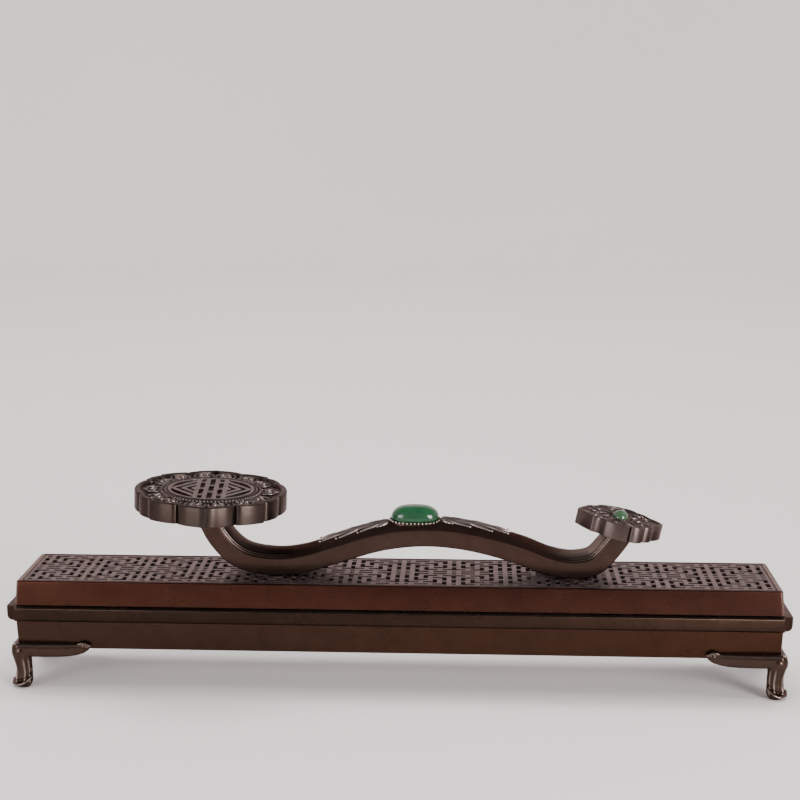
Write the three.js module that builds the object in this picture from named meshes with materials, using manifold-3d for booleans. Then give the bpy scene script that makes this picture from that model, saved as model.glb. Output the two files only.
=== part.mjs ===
// Horizontal incense burner: a cast brass tray on four scroll feet, a lift-off lid with a pierced
// fret panel, and a ruyi sceptre that lies along the lid as its handle.
// Millimetres, +Z up. The origin is on the table under the middle, +X runs along the burner
// towards the sceptre's small head, and -Y is the front.
import * as THREE from "three";
import { mergeVertices } from "three/addons/utils/BufferGeometryUtils.js";
import Module from "manifold-3d";

const wasm = await Module();
wasm.setup();

// Driving dimensions, in millimetres and degrees
const GAP = 0.3; // between pieces that touch
const FOOT_HEIGHT = 13.4; // table to the tray's underside
const TRAY = { halfX: 125.5, halfY: 16.7, corner: 0.9, draft: 0.4, height: 14.6, wall: 2.8, floor: 2 };
const LIP = { halfX: 123.5, halfY: 14.9, rise: 2.4 }; // the tray's upstand that keeps the lid in place
const RIM = { reach: 2.9, drop: 4.9 }; // the moulding round the top of the tray
const LID = { halfX: 124.95, halfY: 16.5, flare: 0.6, corner: 1.1, height: 8.1, border: 1.7, ledge: 1.25 };
const PANEL = { thick: 1.4, edge: 1.1, rows: 12, barX: 1.65, barY: 1.15 };
const PAD = { halfX: 112, halfY: 12.2, thick: 2.5 };
const BAR = { halfWidth: 6.8, below: 2.9, arris: 2.6, crown: 5.1 }; // section about its middle line
// The sceptre's lobed heads: reach is from the middle to the front point, width the share of it
// sideways, tilt is down towards +X and stud is where the head is held, from its middle
const HEAD = { x: -62.5, top: 28, reach: 28, width: 0.904, thick: 6.5, tilt: 2.2, turn: 5, stud: -1.9 };
const TAIL = { x: 73.6, top: 20.3, reach: 14, width: 1.064, thick: 5.3, tilt: 10.9, turn: 8, stud: 0.6 };
const MEDALLION = { radius: 14.5, seat: 2.2, field: 1.1, band: 16.5, barHalf: 0.75 };
const STONE = { x: 5.6, halfX: 7.9, halfY: 4.8, foot: 16.8, top: 23.2 };
const BEZEL = { inner: 0.96, outer: 1.08, height: 2.2 }; // shares of the stone's size
const SPRAYS = { left: [-3, -25.6], right: [14.2, 36.1] }; // from beside the stone out to the tip
const FIXINGS = [-40.5, 57.5]; // the two places along the lid where the sceptre is screwed down
const SCREW = { shank: 1.2, head: 2.4, headHeight: 1.2, hole: 1.5 };
const WASHER = { radius: 3.3, thick: 0.6 };
const FOOT_SCREW = { x: 116.6, y: 9.4 };
const LEG = { inset: 2.2, sides: 10 }; // inset from the tray's faces to the middle of the leg
const END_WING_LENGTH = 12.6;
const WING_TOP = 15.3;

// Heights above the table that follow from them
const TRAY_TOP = FOOT_HEIGHT + TRAY.height;
const TRAY_FLOOR = FOOT_HEIGHT + TRAY.floor;
const LID_FOOT = TRAY_TOP + GAP;
const LID_TOP = LID_FOOT + LID.height;
const PANEL_FOOT = LID_TOP - PANEL.thick;

// The middle line of the sceptre seen from the front: X, and height above the lid
const BAR_LINE = [
  [-66.2, 27], [-60.2, 12.9], [-52.6, 5.5], [-41, 3.1], [-31, 4.1], [-20, 7.5], [-5.5, 11.9],
  [9, 13.6], [23.6, 12.3], [39.5, 8.2], [49.5, 4.4], [58, 3.1], [65.2, 4.7], [70.5, 10.1], [78.6, 22.4],
];

// A quarter of the lobed outline of a sceptre head, from its front point round to its end: the
// angle and the share of the reach at each corner, and how far the arc to the next one bulges out.
const HEAD_QUARTER = [
  { angle: 0, share: 1, bulge: -0.012, steps: 2 },
  { angle: 9, share: 0.935, bulge: 0.012, steps: 2 },
  { angle: 22, share: 0.89, bulge: 0, steps: 1 },
  { angle: 25, share: 0.835, bulge: 0, steps: 1 },
  { angle: 28, share: 0.9, bulge: 0.02, steps: 2 },
  { angle: 47, share: 0.985, bulge: 0, steps: 1 },
  { angle: 50, share: 0.9, bulge: 0, steps: 1 },
  { angle: 53, share: 0.955, bulge: 0.02, steps: 2 },
  { angle: 66, share: 0.97, bulge: 0, steps: 1 },
  { angle: 69, share: 0.92, bulge: 0, steps: 1 },
  { angle: 72, share: 0.975, bulge: 0.02, steps: 2 },
  { angle: 90, share: 1, bulge: 0, steps: 0 },
];

// The fret is a maze of small cells. A tile of eleven columns repeats along the lid, with its first
// kind once more after the first tile and after the last, and the front rows mirror the back ones
// about the bar along the middle.
const TILE = ["A", "4", "3", "2", "1", "D", "D", "1", "2", "3", "4"];
const KINDS = [...TILE, "A", ...Array(6).fill(TILE).flat(), "A"];
// Rows, counted from the nearer edge, whose cell opens into the next row inwards
const OPENS_INWARD = { A: [1, 3], D: [1, 3], 1: [2, 4], 2: [3], 3: [1], 4: [0, 2] };
// Neighbouring columns whose cells open into each other, row by row from the nearer edge
const OPENS_SIDEWAYS = [["12", "34"], ["1D", "23"], ["12"], ["34"], ["23", "4A"], ["12", "34"]];

const BRONZE = { color: 0x3f2f27, roughness: 0.42, metalness: 0.9 };
const LID_BRONZE = { color: 0x4a2a20, roughness: 0.36, metalness: 0.85 };
const FRET_BRONZE = { color: 0x6b5a54, roughness: 0.5, metalness: 0.85 };
const SCEPTRE_BRONZE = { color: 0x4f3d36, roughness: 0.4, metalness: 0.9 };
const HEAD_BRONZE = { color: 0x5d4d46, roughness: 0.38, metalness: 0.9 };
const SCREW_BRASS = { color: 0x8a6b35, roughness: 0.35, metalness: 1 };
const JADE = { color: 0x1f7a3c, roughness: 0.08, metalness: 0 };
const PALE_JADE = { color: 0x6f9a68, roughness: 0.12, metalness: 0 };
const FELT = { color: 0xd9d4c7, roughness: 0.95, metalness: 0 };

// A three.js geometry as a manifold-3d solid, turned right side out
function solid(geometry) {
  const bare = geometry.clone();
  bare.deleteAttribute("normal");
  bare.deleteAttribute("uv");
  const merged = mergeVertices(bare, 1e-4);
  const vertProperties = merged.attributes.position.array;
  const triVerts = new Uint32Array(merged.index.array);
  const made = new wasm.Manifold(new wasm.Mesh({ numProp: 3, vertProperties, triVerts }));
  return made.volume() < 0 ? turnedOut(vertProperties, triVerts) : made;
}

function turnedOut(vertProperties, triVerts) {
  for (let i = 0; i < triVerts.length; i += 3) {
    [triVerts[i + 1], triVerts[i + 2]] = [triVerts[i + 2], triVerts[i + 1]];
  }
  return new wasm.Manifold(new wasm.Mesh({ numProp: 3, vertProperties, triVerts }));
}

// A named mesh of a solid, with faces that booleans split joined up again
function piece(name, body, finish) {
  const made = body.asOriginal().simplify(0.001).getMesh();
  const geometry = new THREE.BufferGeometry();
  const positions = new Float32Array(made.vertProperties);
  geometry.setAttribute("position", new THREE.BufferAttribute(positions, 3));
  geometry.setIndex(new THREE.BufferAttribute(new Uint32Array(made.triVerts), 1));
  const flat = geometry.toNonIndexed();
  flat.computeVertexNormals();
  const mesh = new THREE.Mesh(flat, new THREE.MeshStandardMaterial(finish));
  mesh.name = name;
  return mesh;
}

const union = (bodies) => bodies.reduce((all, body) => all.add(body));
const vector = (x, y, z) => new THREE.Vector3(x, y, z);

// A block between two corners, on a fine grid so that faces in line stay in line
function block(low, high) {
  const geometry = new THREE.BoxGeometry(high[0] - low[0], high[1] - low[1], high[2] - low[2]);
  geometry.translate((low[0] + high[0]) / 2, (low[1] + high[1]) / 2, (low[2] + high[2]) / 2);
  const at = geometry.attributes.position.array;
  at.forEach((value, i) => {
    at[i] = Math.round(value * 1000) / 1000;
  });
  return solid(geometry);
}

function cylinder(x, y, low, high, radius, sides = 16) {
  const geometry = new THREE.CylinderGeometry(radius, radius, high - low, sides);
  geometry.rotateX(Math.PI / 2);
  geometry.translate(x, y, (low + high) / 2);
  return solid(geometry);
}

// A closed skin over rings that all have the same number of points, with a fan over each end
function loft(rings) {
  const size = rings[0].length;
  const positions = rings.flat().flatMap((point) => [point.x, point.y, point.z]);
  const index = [];
  for (let level = 0; level + 1 < rings.length; level++) {
    for (let i = 0; i < size; i++) {
      const a = level * size + i;
      const b = level * size + ((i + 1) % size);
      index.push(a, b, b + size, a, b + size, a + size);
    }
  }
  for (const [ring, start] of [[rings[0], 0], [rings.at(-1), (rings.length - 1) * size]]) {
    const middle = ring.reduce((sum, point) => sum.add(point), vector(0, 0, 0)).divideScalar(size);
    const hub = positions.length / 3;
    positions.push(middle.x, middle.y, middle.z);
    for (let i = 0; i < size; i++) {
      const edge = [start + i, start + ((i + 1) % size)];
      index.push(hub, ...(start ? edge : edge.reverse()));
    }
  }
  const geometry = new THREE.BufferGeometry();
  geometry.setAttribute("position", new THREE.Float32BufferAttribute(positions, 3));
  geometry.setIndex(index);
  return solid(geometry);
}

// A level ring of a rectangle with round corners
function roundedRing(halfX, halfY, corner, z, steps = 2) {
  const ring = [];
  for (const [signX, signY, from] of [[1, 1, 0], [-1, 1, 90], [-1, -1, 180], [1, -1, 270]]) {
    for (let i = 0; i <= steps; i++) {
      const turn = THREE.MathUtils.degToRad(from + (90 * i) / steps);
      const x = signX * (halfX - corner) + corner * Math.cos(turn);
      const y = signY * (halfY - corner) + corner * Math.sin(turn);
      ring.push(vector(x, y, z));
    }
  }
  return ring;
}

// The strips of moulding round the top of the tray, each as long as the side that it is on
const RIM_STRIPS = [
  { name: "front", halfLength: TRAY.halfX - 0.1, place: (along, reach, z) => vector(along, -TRAY.halfY - reach, z) },
  { name: "back", halfLength: TRAY.halfX - 0.1, place: (along, reach, z) => vector(along, TRAY.halfY + reach, z) },
  { name: "left", halfLength: TRAY.halfY - 0.1, place: (along, reach, z) => vector(-TRAY.halfX - reach, along, z) },
  { name: "right", halfLength: TRAY.halfY - 0.1, place: (along, reach, z) => vector(TRAY.halfX + reach, along, z) },
];

// A moulding's profile of [reach, height] swept along its side, with its ends eased
function makeRimStrip({ name, halfLength, place }) {
  const foot = TRAY_TOP - RIM.drop;
  const profile = [
    [GAP, TRAY_TOP], [RIM.reach - 0.5, TRAY_TOP], [RIM.reach, TRAY_TOP - 0.5], [RIM.reach, TRAY_TOP - 1.2],
    [RIM.reach - 0.35, foot + 1.5], [RIM.reach - 1.2, foot + 0.5], [RIM.reach - 2.2, foot], [GAP, foot],
  ];
  const ends = [[-halfLength, 0.6], [0.7 - halfLength, 0], [halfLength - 0.7, 0], [halfLength, 0.6]];
  const rings = ends.map(([along, inset]) =>
    profile.map(([reach, z]) => place(along, Math.min(reach, RIM.reach - inset), z)),
  );
  return piece(name + "_rim_strip", loft(rings), BRONZE);
}

function makeTray() {
  const { halfX, halfY, corner, draft, wall } = TRAY;
  const shell = loft([
    roundedRing(halfX - draft - 0.4, halfY - draft, corner, FOOT_HEIGHT),
    roundedRing(halfX - draft, halfY - draft / 2, corner, FOOT_HEIGHT + 0.5),
    roundedRing(halfX, halfY, corner, TRAY_TOP - RIM.drop),
    roundedRing(halfX, halfY, corner, TRAY_TOP),
    roundedRing(LIP.halfX, LIP.halfY, 1, TRAY_TOP),
    roundedRing(LIP.halfX, LIP.halfY, 1, TRAY_TOP + LIP.rise - 0.4),
    roundedRing(LIP.halfX - 0.3, LIP.halfY - 0.3, 1, TRAY_TOP + LIP.rise),
  ]);
  const trough = loft([
    roundedRing(halfX - wall, halfY - wall, 1, TRAY_FLOOR),
    roundedRing(halfX - wall, halfY - wall, 1, TRAY_TOP + LIP.rise + 1),
  ]);
  const screwHoles = FEET.map(({ signX, signY }) =>
    cylinder(signX * FOOT_SCREW.x, signY * FOOT_SCREW.y, FOOT_HEIGHT - 1, TRAY_FLOOR + 1, SCREW.hole, 8),
  );
  return piece("tray", shell.subtract(union([trough, ...screwHoles])), BRONZE);
}

const FEET = [
  { name: "front_left", signX: -1, signY: -1 },
  { name: "front_right", signX: 1, signY: -1 },
  { name: "back_left", signX: -1, signY: 1 },
  { name: "back_right", signX: 1, signY: 1 },
];

// The leg's levels from the table up
const LEG_LEVELS = [
  { z: 0, half: 2.1, lean: 0.1, ribs: 0 },
  { z: 0.7, half: 3.2, lean: 0.25, ribs: 0.03 },
  { z: 2.1, half: 3.5, lean: 0.35, ribs: 0.1 },
  { z: 4, half: 3.15, lean: 0.05, ribs: 0.12 },
  { z: 7.4, half: 3.1, lean: 0, ribs: 0.08 },
  { z: 12.2, half: 3.45, lean: 0.7, ribs: 0 },
  { z: WING_TOP, half: 2.7, lean: 0, ribs: 0 },
];
// The wing along the tray's edge, from the corner to its tip
const WING_STATIONS = [
  { distance: 0, foot: 10.7, out: 1.8 },
  { distance: 14, foot: 10.8, out: 1.5 },
  { distance: 20, foot: 11.6, out: 1.1 },
  { distance: 23.6, foot: 13.1, out: 0.7 },
  { distance: 24.9, foot: 14.6, out: 0.45 },
];

// A foot for the corner at +X +Y, turned to the others by the signs
function makeFoot({ name, signX, signY }) {
  const cornerX = TRAY.halfX;
  const cornerY = TRAY.halfY;
  const diagonal = Math.PI / 4;
  const leg = loft(
    LEG_LEVELS.map(({ z, half, lean, ribs }) => {
      const middle = LEG.inset - lean;
      return Array.from({ length: LEG.sides }, (_, i) => {
        const turn = (i / LEG.sides) * 2 * Math.PI;
        const outward = Math.max(0, Math.cos(turn - diagonal));
        const radius = half * (1 + ribs * outward * Math.cos((LEG.sides / 2) * turn));
        return vector(
          cornerX - middle + radius * Math.cos(turn),
          cornerY - middle + radius * Math.sin(turn),
          z,
        );
      });
    }),
  );
  const fullLength = WING_STATIONS.at(-1).distance;
  const wing = (length, place) =>
    loft(
      WING_STATIONS.map(({ distance, foot, out }) => {
        const along = (distance / fullLength) * length;
        const section = [
          [-2.5, foot + 0.5], [0.2, foot], [out, (foot + WING_TOP) / 2 - 0.6],
          [out * 0.85, WING_TOP - 0.5], [0.2, WING_TOP], [-2.5, WING_TOP - 0.4],
        ];
        return section.map(([reach, z]) => place(along, reach, z));
      }),
    );
  const wings = [
    wing(fullLength, (along, reach, z) => vector(cornerX - along, cornerY + reach, z)),
    wing(END_WING_LENGTH, (along, reach, z) => vector(cornerX + reach, cornerY - along, z)),
  ];
  const seat = new THREE.Shape([
    new THREE.Vector2(cornerX - 0.5, cornerY - 0.5),
    new THREE.Vector2(cornerX - 15, cornerY - 0.5),
    new THREE.Vector2(cornerX - 11, cornerY - 12),
    new THREE.Vector2(cornerX - 0.5, cornerY - 12),
  ]);
  const seatPlate = new THREE.ExtrudeGeometry(seat, { depth: 1.7, bevelEnabled: false });
  seatPlate.translate(0, 0, FOOT_HEIGHT - GAP - 1.7);
  const body = union([leg, ...wings, solid(seatPlate)]);
  const tray = block(
    [0, 0, FOOT_HEIGHT - GAP],
    [cornerX + GAP, cornerY + GAP, TRAY_TOP],
  );
  const hole = cylinder(FOOT_SCREW.x, FOOT_SCREW.y, 5, TRAY_TOP, SCREW.hole, 8);
  const made = body.subtract(tray).subtract(hole);
  const mirrored = made.scale([signX, signY, 1]);
  return piece(name + "_foot", mirrored, BRONZE);
}

// A round-headed screw, its shank running down from the underside of the head
function screwBody(length) {
  const { shank, head, headHeight } = SCREW;
  const profile = [
    [0, headHeight], [head * 0.7, headHeight], [head, headHeight * 0.4], [head, 0],
    [shank, 0], [shank, -length], [0, -length],
  ];
  return turned(profile, 8);
}

function makeFootScrew({ name, signX, signY }) {
  const length = TRAY.floor + GAP + 1.4;
  const body = screwBody(length).translate([signX * FOOT_SCREW.x, signY * FOOT_SCREW.y, TRAY_FLOOR + GAP]);
  return piece(name + "_foot_screw", body, SCREW_BRASS);
}

function makePad() {
  const foot = TRAY_FLOOR + GAP;
  const body = loft([
    roundedRing(PAD.halfX, PAD.halfY, 2, foot),
    roundedRing(PAD.halfX, PAD.halfY, 2, foot + PAD.thick - 0.6),
    roundedRing(PAD.halfX - 0.6, PAD.halfY - 0.6, 2, foot + PAD.thick),
  ]);
  return piece("ash_pad", body, FELT);
}

function makeLidFrame() {
  const { halfX, halfY, flare, corner, border, ledge } = LID;
  const shell = loft([
    roundedRing(halfX + flare - 0.3, halfY + flare - 0.3, corner, LID_FOOT),
    roundedRing(halfX + flare, halfY + flare, corner, LID_FOOT + 0.3),
    roundedRing(halfX, halfY, corner, LID_TOP - 0.7),
    roundedRing(halfX - 0.2, halfY - 0.2, corner, LID_TOP - 0.2),
    roundedRing(halfX - 0.6, halfY - 0.6, corner, LID_TOP),
  ]);
  const recessX = halfX - border;
  const recessY = halfY - border + 0.2;
  const ledgeTop = PANEL_FOOT - GAP;
  const hollow = loft([
    roundedRing(LIP.halfX + 0.45, LIP.halfY + 0.45, 1, LID_FOOT - 1),
    roundedRing(LIP.halfX + 0.45, LIP.halfY + 0.45, 1, LID_FOOT + LIP.rise + 0.6),
    roundedRing(recessX, recessY, 1, ledgeTop - 1.1),
  ]);
  const opening = loft([
    roundedRing(recessX - ledge, recessY - ledge, 0.6, LID_FOOT),
    roundedRing(recessX - ledge, recessY - ledge, 0.6, LID_TOP + 1),
  ]);
  const recess = loft([
    roundedRing(recessX, recessY, 0.6, ledgeTop),
    roundedRing(recessX, recessY, 0.6, LID_TOP + 1),
  ]);
  return piece("lid_frame", shell.subtract(union([hollow, opening, recess])), LID_BRONZE);
}

// The panel of fret: every cell and every way between cells is cut through one plate
function makeFretPanel() {
  const halfX = LID.halfX - LID.border - GAP;
  const halfY = LID.halfY - LID.border + 0.2 - GAP;
  const { rows, barX, barY, edge } = PANEL;
  const columns = KINDS.length;
  const pitchX = (2 * (halfX - edge) + barX) / columns;
  const pitchY = (2 * (halfY - edge) + barY) / rows;
  const cellX = pitchX - barX;
  const cellY = pitchY - barY;
  const west = (column) => -halfX + edge + column * pitchX;
  const south = (row) => -halfY + edge + row * pitchY;
  const cut = (x0, x1, y0, y1) => block([x0, y0, PANEL_FOOT - 1], [x1, y1, LID_TOP + 1]);
  const inside = cellX / 4; // how far a way between cells reaches into each of them
  const openings = [];
  for (let column = 0; column < columns; column++) {
    for (let row = 0; row < rows; row++) {
      const [x, y] = [west(column), south(row)];
      openings.push(cut(x, x + cellX, y, y + cellY));
      const fromEdge = Math.min(row, rows - 1 - row);
      if (OPENS_INWARD[KINDS[column]].includes(fromEdge)) {
        const next = south(row < rows / 2 ? row + 1 : row - 1);
        openings.push(cut(x, x + cellX, Math.min(y, next) + inside, Math.max(y, next) + cellY - inside));
      }
      const pair = KINDS.slice(column, column + 2).sort().join("");
      if (OPENS_SIDEWAYS[fromEdge].includes(pair)) {
        openings.push(cut(x + inside, west(column + 1) + cellX - inside, y, y + cellY));
      }
    }
  }
  const plate = block([-halfX, -halfY, PANEL_FOOT], [halfX, halfY, LID_TOP]);
  const fret = plate.subtract(wasm.Manifold.union(openings));
  const bosses = FIXINGS.map((x) => block([x - 4.6, -3.4, PANEL_FOOT], [x + 4.6, 3.4, LID_TOP]));
  const holes = FIXINGS.map((x) => cylinder(x, 0, PANEL_FOOT - 1, LID_TOP + 1, SCREW.hole, 10));
  return piece("fret_panel", union([fret, ...bosses]).subtract(union(holes)), FRET_BRONZE);
}

const barCurve = new THREE.CatmullRomCurve3(
  BAR_LINE.map(([x, height]) => vector(x, 0, LID_TOP + height)),
  false,
  "centripetal",
);

// The direction square to the sceptre's middle line, upwards, at a share of its length
function barUp(share) {
  const along = barCurve.getTangentAt(share);
  return vector(-along.z, 0, along.x);
}

// A block that takes away everything above the underside of a head
function headCut({ x, top, thick, tilt }) {
  const size = 60;
  const geometry = new THREE.BoxGeometry(size, size, size);
  geometry.translate(0, 0, size / 2 - thick - GAP);
  geometry.rotateY(THREE.MathUtils.degToRad(tilt));
  geometry.translate(x, 0, LID_TOP + top);
  return solid(geometry);
}

function makeBar() {
  const { halfWidth, below, arris, crown } = BAR;
  const dome = (share) => [halfWidth * share, arris + (crown - arris) * (1 - share ** 2.2)];
  const half = [
    dome(0), dome(0.4), dome(0.75), [halfWidth - 0.2, arris],
    [halfWidth, arris - 0.6], [halfWidth, 0.5 - below], [halfWidth - 0.5, -below],
  ];
  const section = [...half, ...half.slice(1).reverse().map(([y, up]) => [-y, up])];
  const steps = 21;
  const rings = [];
  for (let i = 0; i <= steps; i++) {
    const share = i / steps;
    const middle = barCurve.getPointAt(share);
    const up = barUp(share);
    rings.push(section.map(([y, n]) => middle.clone().addScaledVector(up, n).add(vector(0, y, 0))));
  }
  const seat = cylinder(0, 0, LID_TOP + STONE.foot - 2 * GAP, LID_TOP + 40, 1, 20)
    .scale([STONE.halfX * BEZEL.outer + GAP, STONE.halfY * BEZEL.outer + GAP, 1])
    .translate([STONE.x, 0, 0]);
  const table = block([-200, -50, LID_TOP - 10], [200, 50, LID_TOP + GAP]);
  const bores = FIXINGS.map((x) => cylinder(x, 0, LID_TOP - 1, LID_TOP + 4.2, SCREW.hole, 10));
  const cuts = union([headCut(HEAD), headCut(TAIL), seat, table, ...bores, headBore(HEAD), headBore(TAIL)]);
  return piece("ruyi_bar", loft(rings).subtract(cuts), SCEPTRE_BRONZE);
}

// The blind hole for a head's stud, in the frame of the head, from inside it down into the bar
function headBore(head) {
  return inHeadFrame(cylinder(head.stud, 0, -head.thick - 5, -head.thick + 2.6, SCREW.hole, 10), head);
}

// A solid made about the middle of a head's top face, put in its place
function inHeadFrame(body, { x, top, tilt }) {
  return body.rotate([0, tilt, 0]).translate([x, 0, LID_TOP + top]);
}

// One level of a lobed head: its outline drawn in by inset
function lobedRing({ reach, width, turn }, inset, z, fineness) {
  const corner = ({ angle, share }) => {
    const turned = THREE.MathUtils.degToRad(angle - 90);
    return new THREE.Vector2(Math.cos(turned), Math.sin(turned)).multiplyScalar(share * reach);
  };
  const quarter = [];
  HEAD_QUARTER.slice(0, -1).forEach((from, i) => {
    const [a, b] = [corner(from), corner(HEAD_QUARTER[i + 1])];
    const outward = new THREE.Vector2(b.y - a.y, a.x - b.x).normalize();
    const steps = Math.ceil(from.steps * fineness);
    for (let step = 0; step < steps; step++) {
      const t = step / steps;
      const bulge = from.bulge * reach * 4 * t * (1 - t);
      quarter.push(a.clone().lerp(b, t).addScaledVector(outward, bulge));
    }
  });
  const end = corner(HEAD_QUARTER.at(-1));
  const right = [...quarter, end, ...quarter.slice(1).reverse().map((p) => new THREE.Vector2(p.x, -p.y))];
  const left = right.map((p) => new THREE.Vector2(-p.x, -p.y));
  const spin = new THREE.Vector2(0, 0);
  return [...right, ...left].map((p) => {
    const drawnIn = p.clone().multiplyScalar(1 - inset / p.length());
    const placed = new THREE.Vector2(drawnIn.x * width, drawnIn.y);
    placed.rotateAround(spin, THREE.MathUtils.degToRad(turn));
    return vector(placed.x, placed.y, z);
  });
}

// A sceptre head: a lobed disc with a raised lip round a sunk field
function headBody(head, lip, sink, fineness) {
  const levels = [[0.4, -head.thick], [0, 0.4 - head.thick], [0, 0], [lip, 0], [lip + 0.4, -sink]];
  return loft(levels.map(([inset, z]) => lobedRing(head, inset, z, fineness)));
}

function makeHead() {
  const pocket = cylinder(0, 0, -MEDALLION.seat - GAP, 1, MEDALLION.radius + GAP, 24);
  const band = cylinder(0, 0, -2, -0.2, MEDALLION.band, 24);
  const body = headBody(HEAD, 1.3, 0.9, 1).add(band).subtract(pocket);
  return piece("ruyi_head", inHeadFrame(body, HEAD).subtract(headBore(HEAD)), HEAD_BRONZE);
}

// The round medallion set in the large head: upright bars in the middle and nested arrowheads beside
function makeMedallion() {
  const { radius, seat, field, barHalf } = MEDALLION;
  const bar = (x0, x1, y0, y1) => block([x0, y0, -field - 0.5], [x1, y1, 0]);
  const across = (x0, x1, y) => bar(x0, x1, y - barHalf, y + barHalf);
  const uprights = [-4.6, -1.6, 1.6, 4.6].map((x) => bar(x - barHalf, x + barHalf, -radius, radius));
  const rungs = [-8.6, 0, 8.6].flatMap((y) => [across(-4.6, -1.6, y), across(1.6, 4.6, y)]);
  const bridges = [-4.3, 4.3].map((y) => across(-1.6, 1.6, y));
  const arrow = (tip, side, up) =>
    bar(0, radius, -barHalf, barHalf)
      .rotate([0, 0, up * 128])
      .translate([tip + 0.9, 0, 0])
      .intersect(bar(5, radius, -radius, radius))
      .scale([side, 1, 1]);
  const arrows = [5.2, 8.6, 12].flatMap((tip) =>
    [-1, 1].flatMap((side) => [-1, 1].map((up) => arrow(tip, side, up))),
  );
  const sides = 24;
  const disc = cylinder(0, 0, -seat, 0, radius, sides);
  const sunk = cylinder(0, 0, -field, 1, radius - 1.1, sides);
  const fret = union([...uprights, ...rungs, ...bridges, ...arrows]);
  const body = disc.subtract(sunk.subtract(fret));
  return piece("head_medallion", inHeadFrame(body.rotate([0, 0, HEAD.turn]), HEAD), HEAD_BRONZE);
}

function makeTail() {
  const collarSeat = cylinder(0, 0, -1.8, 1, 3.9, 16);
  const body = headBody(TAIL, 0.9, 0.6, 0.5).subtract(collarSeat);
  return piece("ruyi_tail", inHeadFrame(body, TAIL).subtract(headBore(TAIL)), HEAD_BRONZE);
}

// A plain stud that holds a head on the end of the bar
function makeStud(name, head) {
  const body = cylinder(head.stud, 0, -head.thick - 4.6, -head.thick + 2.2, SCREW.shank, 10);
  return piece(name, inHeadFrame(body, head), SCREW_BRASS);
}

function makeHandleScrew(name, x) {
  const head = PANEL_FOOT - 2 * GAP - WASHER.thick;
  const body = screwBody(PANEL.thick + WASHER.thick + 3 * GAP + 3)
    .rotate([180, 0, 0])
    .translate([x, 0, head]);
  return piece(name, body, SCREW_BRASS);
}

function makeWasher(name, x) {
  const top = PANEL_FOOT - GAP;
  const disc = cylinder(x, 0, top - WASHER.thick, top, WASHER.radius, 10);
  return piece(name, disc.subtract(cylinder(x, 0, top - 2, top + 1, SCREW.hole, 8)), SCREW_BRASS);
}

// A closed ring or dome turned about +Z from a profile of [radius, height]
function turned(profile, sides) {
  const geometry = new THREE.LatheGeometry(
    profile.map(([radius, z]) => new THREE.Vector2(radius, z)),
    sides,
  );
  geometry.rotateX(Math.PI / 2);
  return solid(geometry);
}

function makeCentreBezel() {
  const foot = STONE.foot - GAP;
  const { inner, outer, height } = BEZEL;
  const profile = [
    [inner, foot], [outer, foot], [outer, foot + height - 0.6], [outer - 0.04, foot + height], [inner, foot],
  ];
  const body = turned(profile, 18).scale([STONE.halfX, STONE.halfY, 1]).translate([STONE.x, 0, LID_TOP]);
  return piece("centre_bezel", body, HEAD_BRONZE);
}

function makeCentreStone() {
  const { foot, top } = STONE;
  const rise = top - foot;
  const profile = [
    [0, foot], [0.9, foot], [0.95, foot + 0.2 * rise], [1, foot + 0.4 * rise],
    [0.93, foot + 0.74 * rise], [0.62, foot + 0.95 * rise], [0, top],
  ];
  const body = turned(profile, 16).scale([STONE.halfX, STONE.halfY, 1]).translate([STONE.x, 0, LID_TOP]);
  return piece("centre_stone", body, JADE);
}

function makeTailBezel() {
  const collar = turned([[2.9, -1.5], [3.6, -1.5], [3.6, 0.2], [2.9, 0.5], [2.9, -1.5]], 12);
  return piece("tail_bezel", inHeadFrame(collar, TAIL), HEAD_BRONZE);
}

function makeTailStone() {
  const dome = turned([[0, -1.4], [2.5, -1.4], [2.6, 0.3], [2.1, 1.9], [0, 2.8]], 12);
  return piece("tail_stone", inHeadFrame(dome, TAIL), PALE_JADE);
}

// The share of the middle line's length at which it reaches x
function shareAt(x) {
  let [low, high] = [0, 1];
  for (let i = 0; i < 24; i++) {
    const middle = (low + high) / 2;
    if (barCurve.getPointAt(middle).x < x) low = middle;
    else high = middle;
  }
  return low;
}

// A spray of leaves cast on the crown of the bar beside the stone, swelling at each leaf
const LEAVES = [
  { at: 0, half: 1.9, height: 0.9 },
  { at: 0.14, half: 2.9, height: 1.2 },
  { at: 0.3, half: 2.2, height: 1 },
  { at: 0.45, half: 3.1, height: 1.15 },
  { at: 0.6, half: 2, height: 0.9 },
  { at: 0.76, half: 2.2, height: 0.9 },
  { at: 1, half: 0.4, height: 0.4 },
];

function makeSpray(name, [from, to]) {
  const fall = (BAR.crown - BAR.arris) * 0.4 ** 1.2; // how much the crown drops in its own half width
  const low = (y) => BAR.crown - (fall * Math.abs(y)) / BAR.halfWidth + GAP;
  const rings = LEAVES.map(({ at, half, height }) => {
    const share = shareAt(from + at * (to - from));
    const middle = barCurve.getPointAt(share);
    const side = [[half, low(half)], [half, low(half) + 0.3 * height], [half * 0.5, low(half) + height]];
    const section = [
      [0, low(0)], ...side, [0, low(0) + height * 0.8],
      ...side.reverse().map(([y, up]) => [-y, up]),
    ];
    return section.map(([y, up]) => middle.clone().addScaledVector(barUp(share), up).add(vector(0, y, 0)));
  });
  return piece(name, loft(rings), HEAD_BRONZE);
}

const burner = new THREE.Group();

const base = new THREE.Group();
base.add(makeTray(), ...RIM_STRIPS.map(makeRimStrip), ...FEET.map(makeFoot), ...FEET.map(makeFootScrew));

const lid = new THREE.Group();
lid.add(makeLidFrame(), makeFretPanel());

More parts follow.
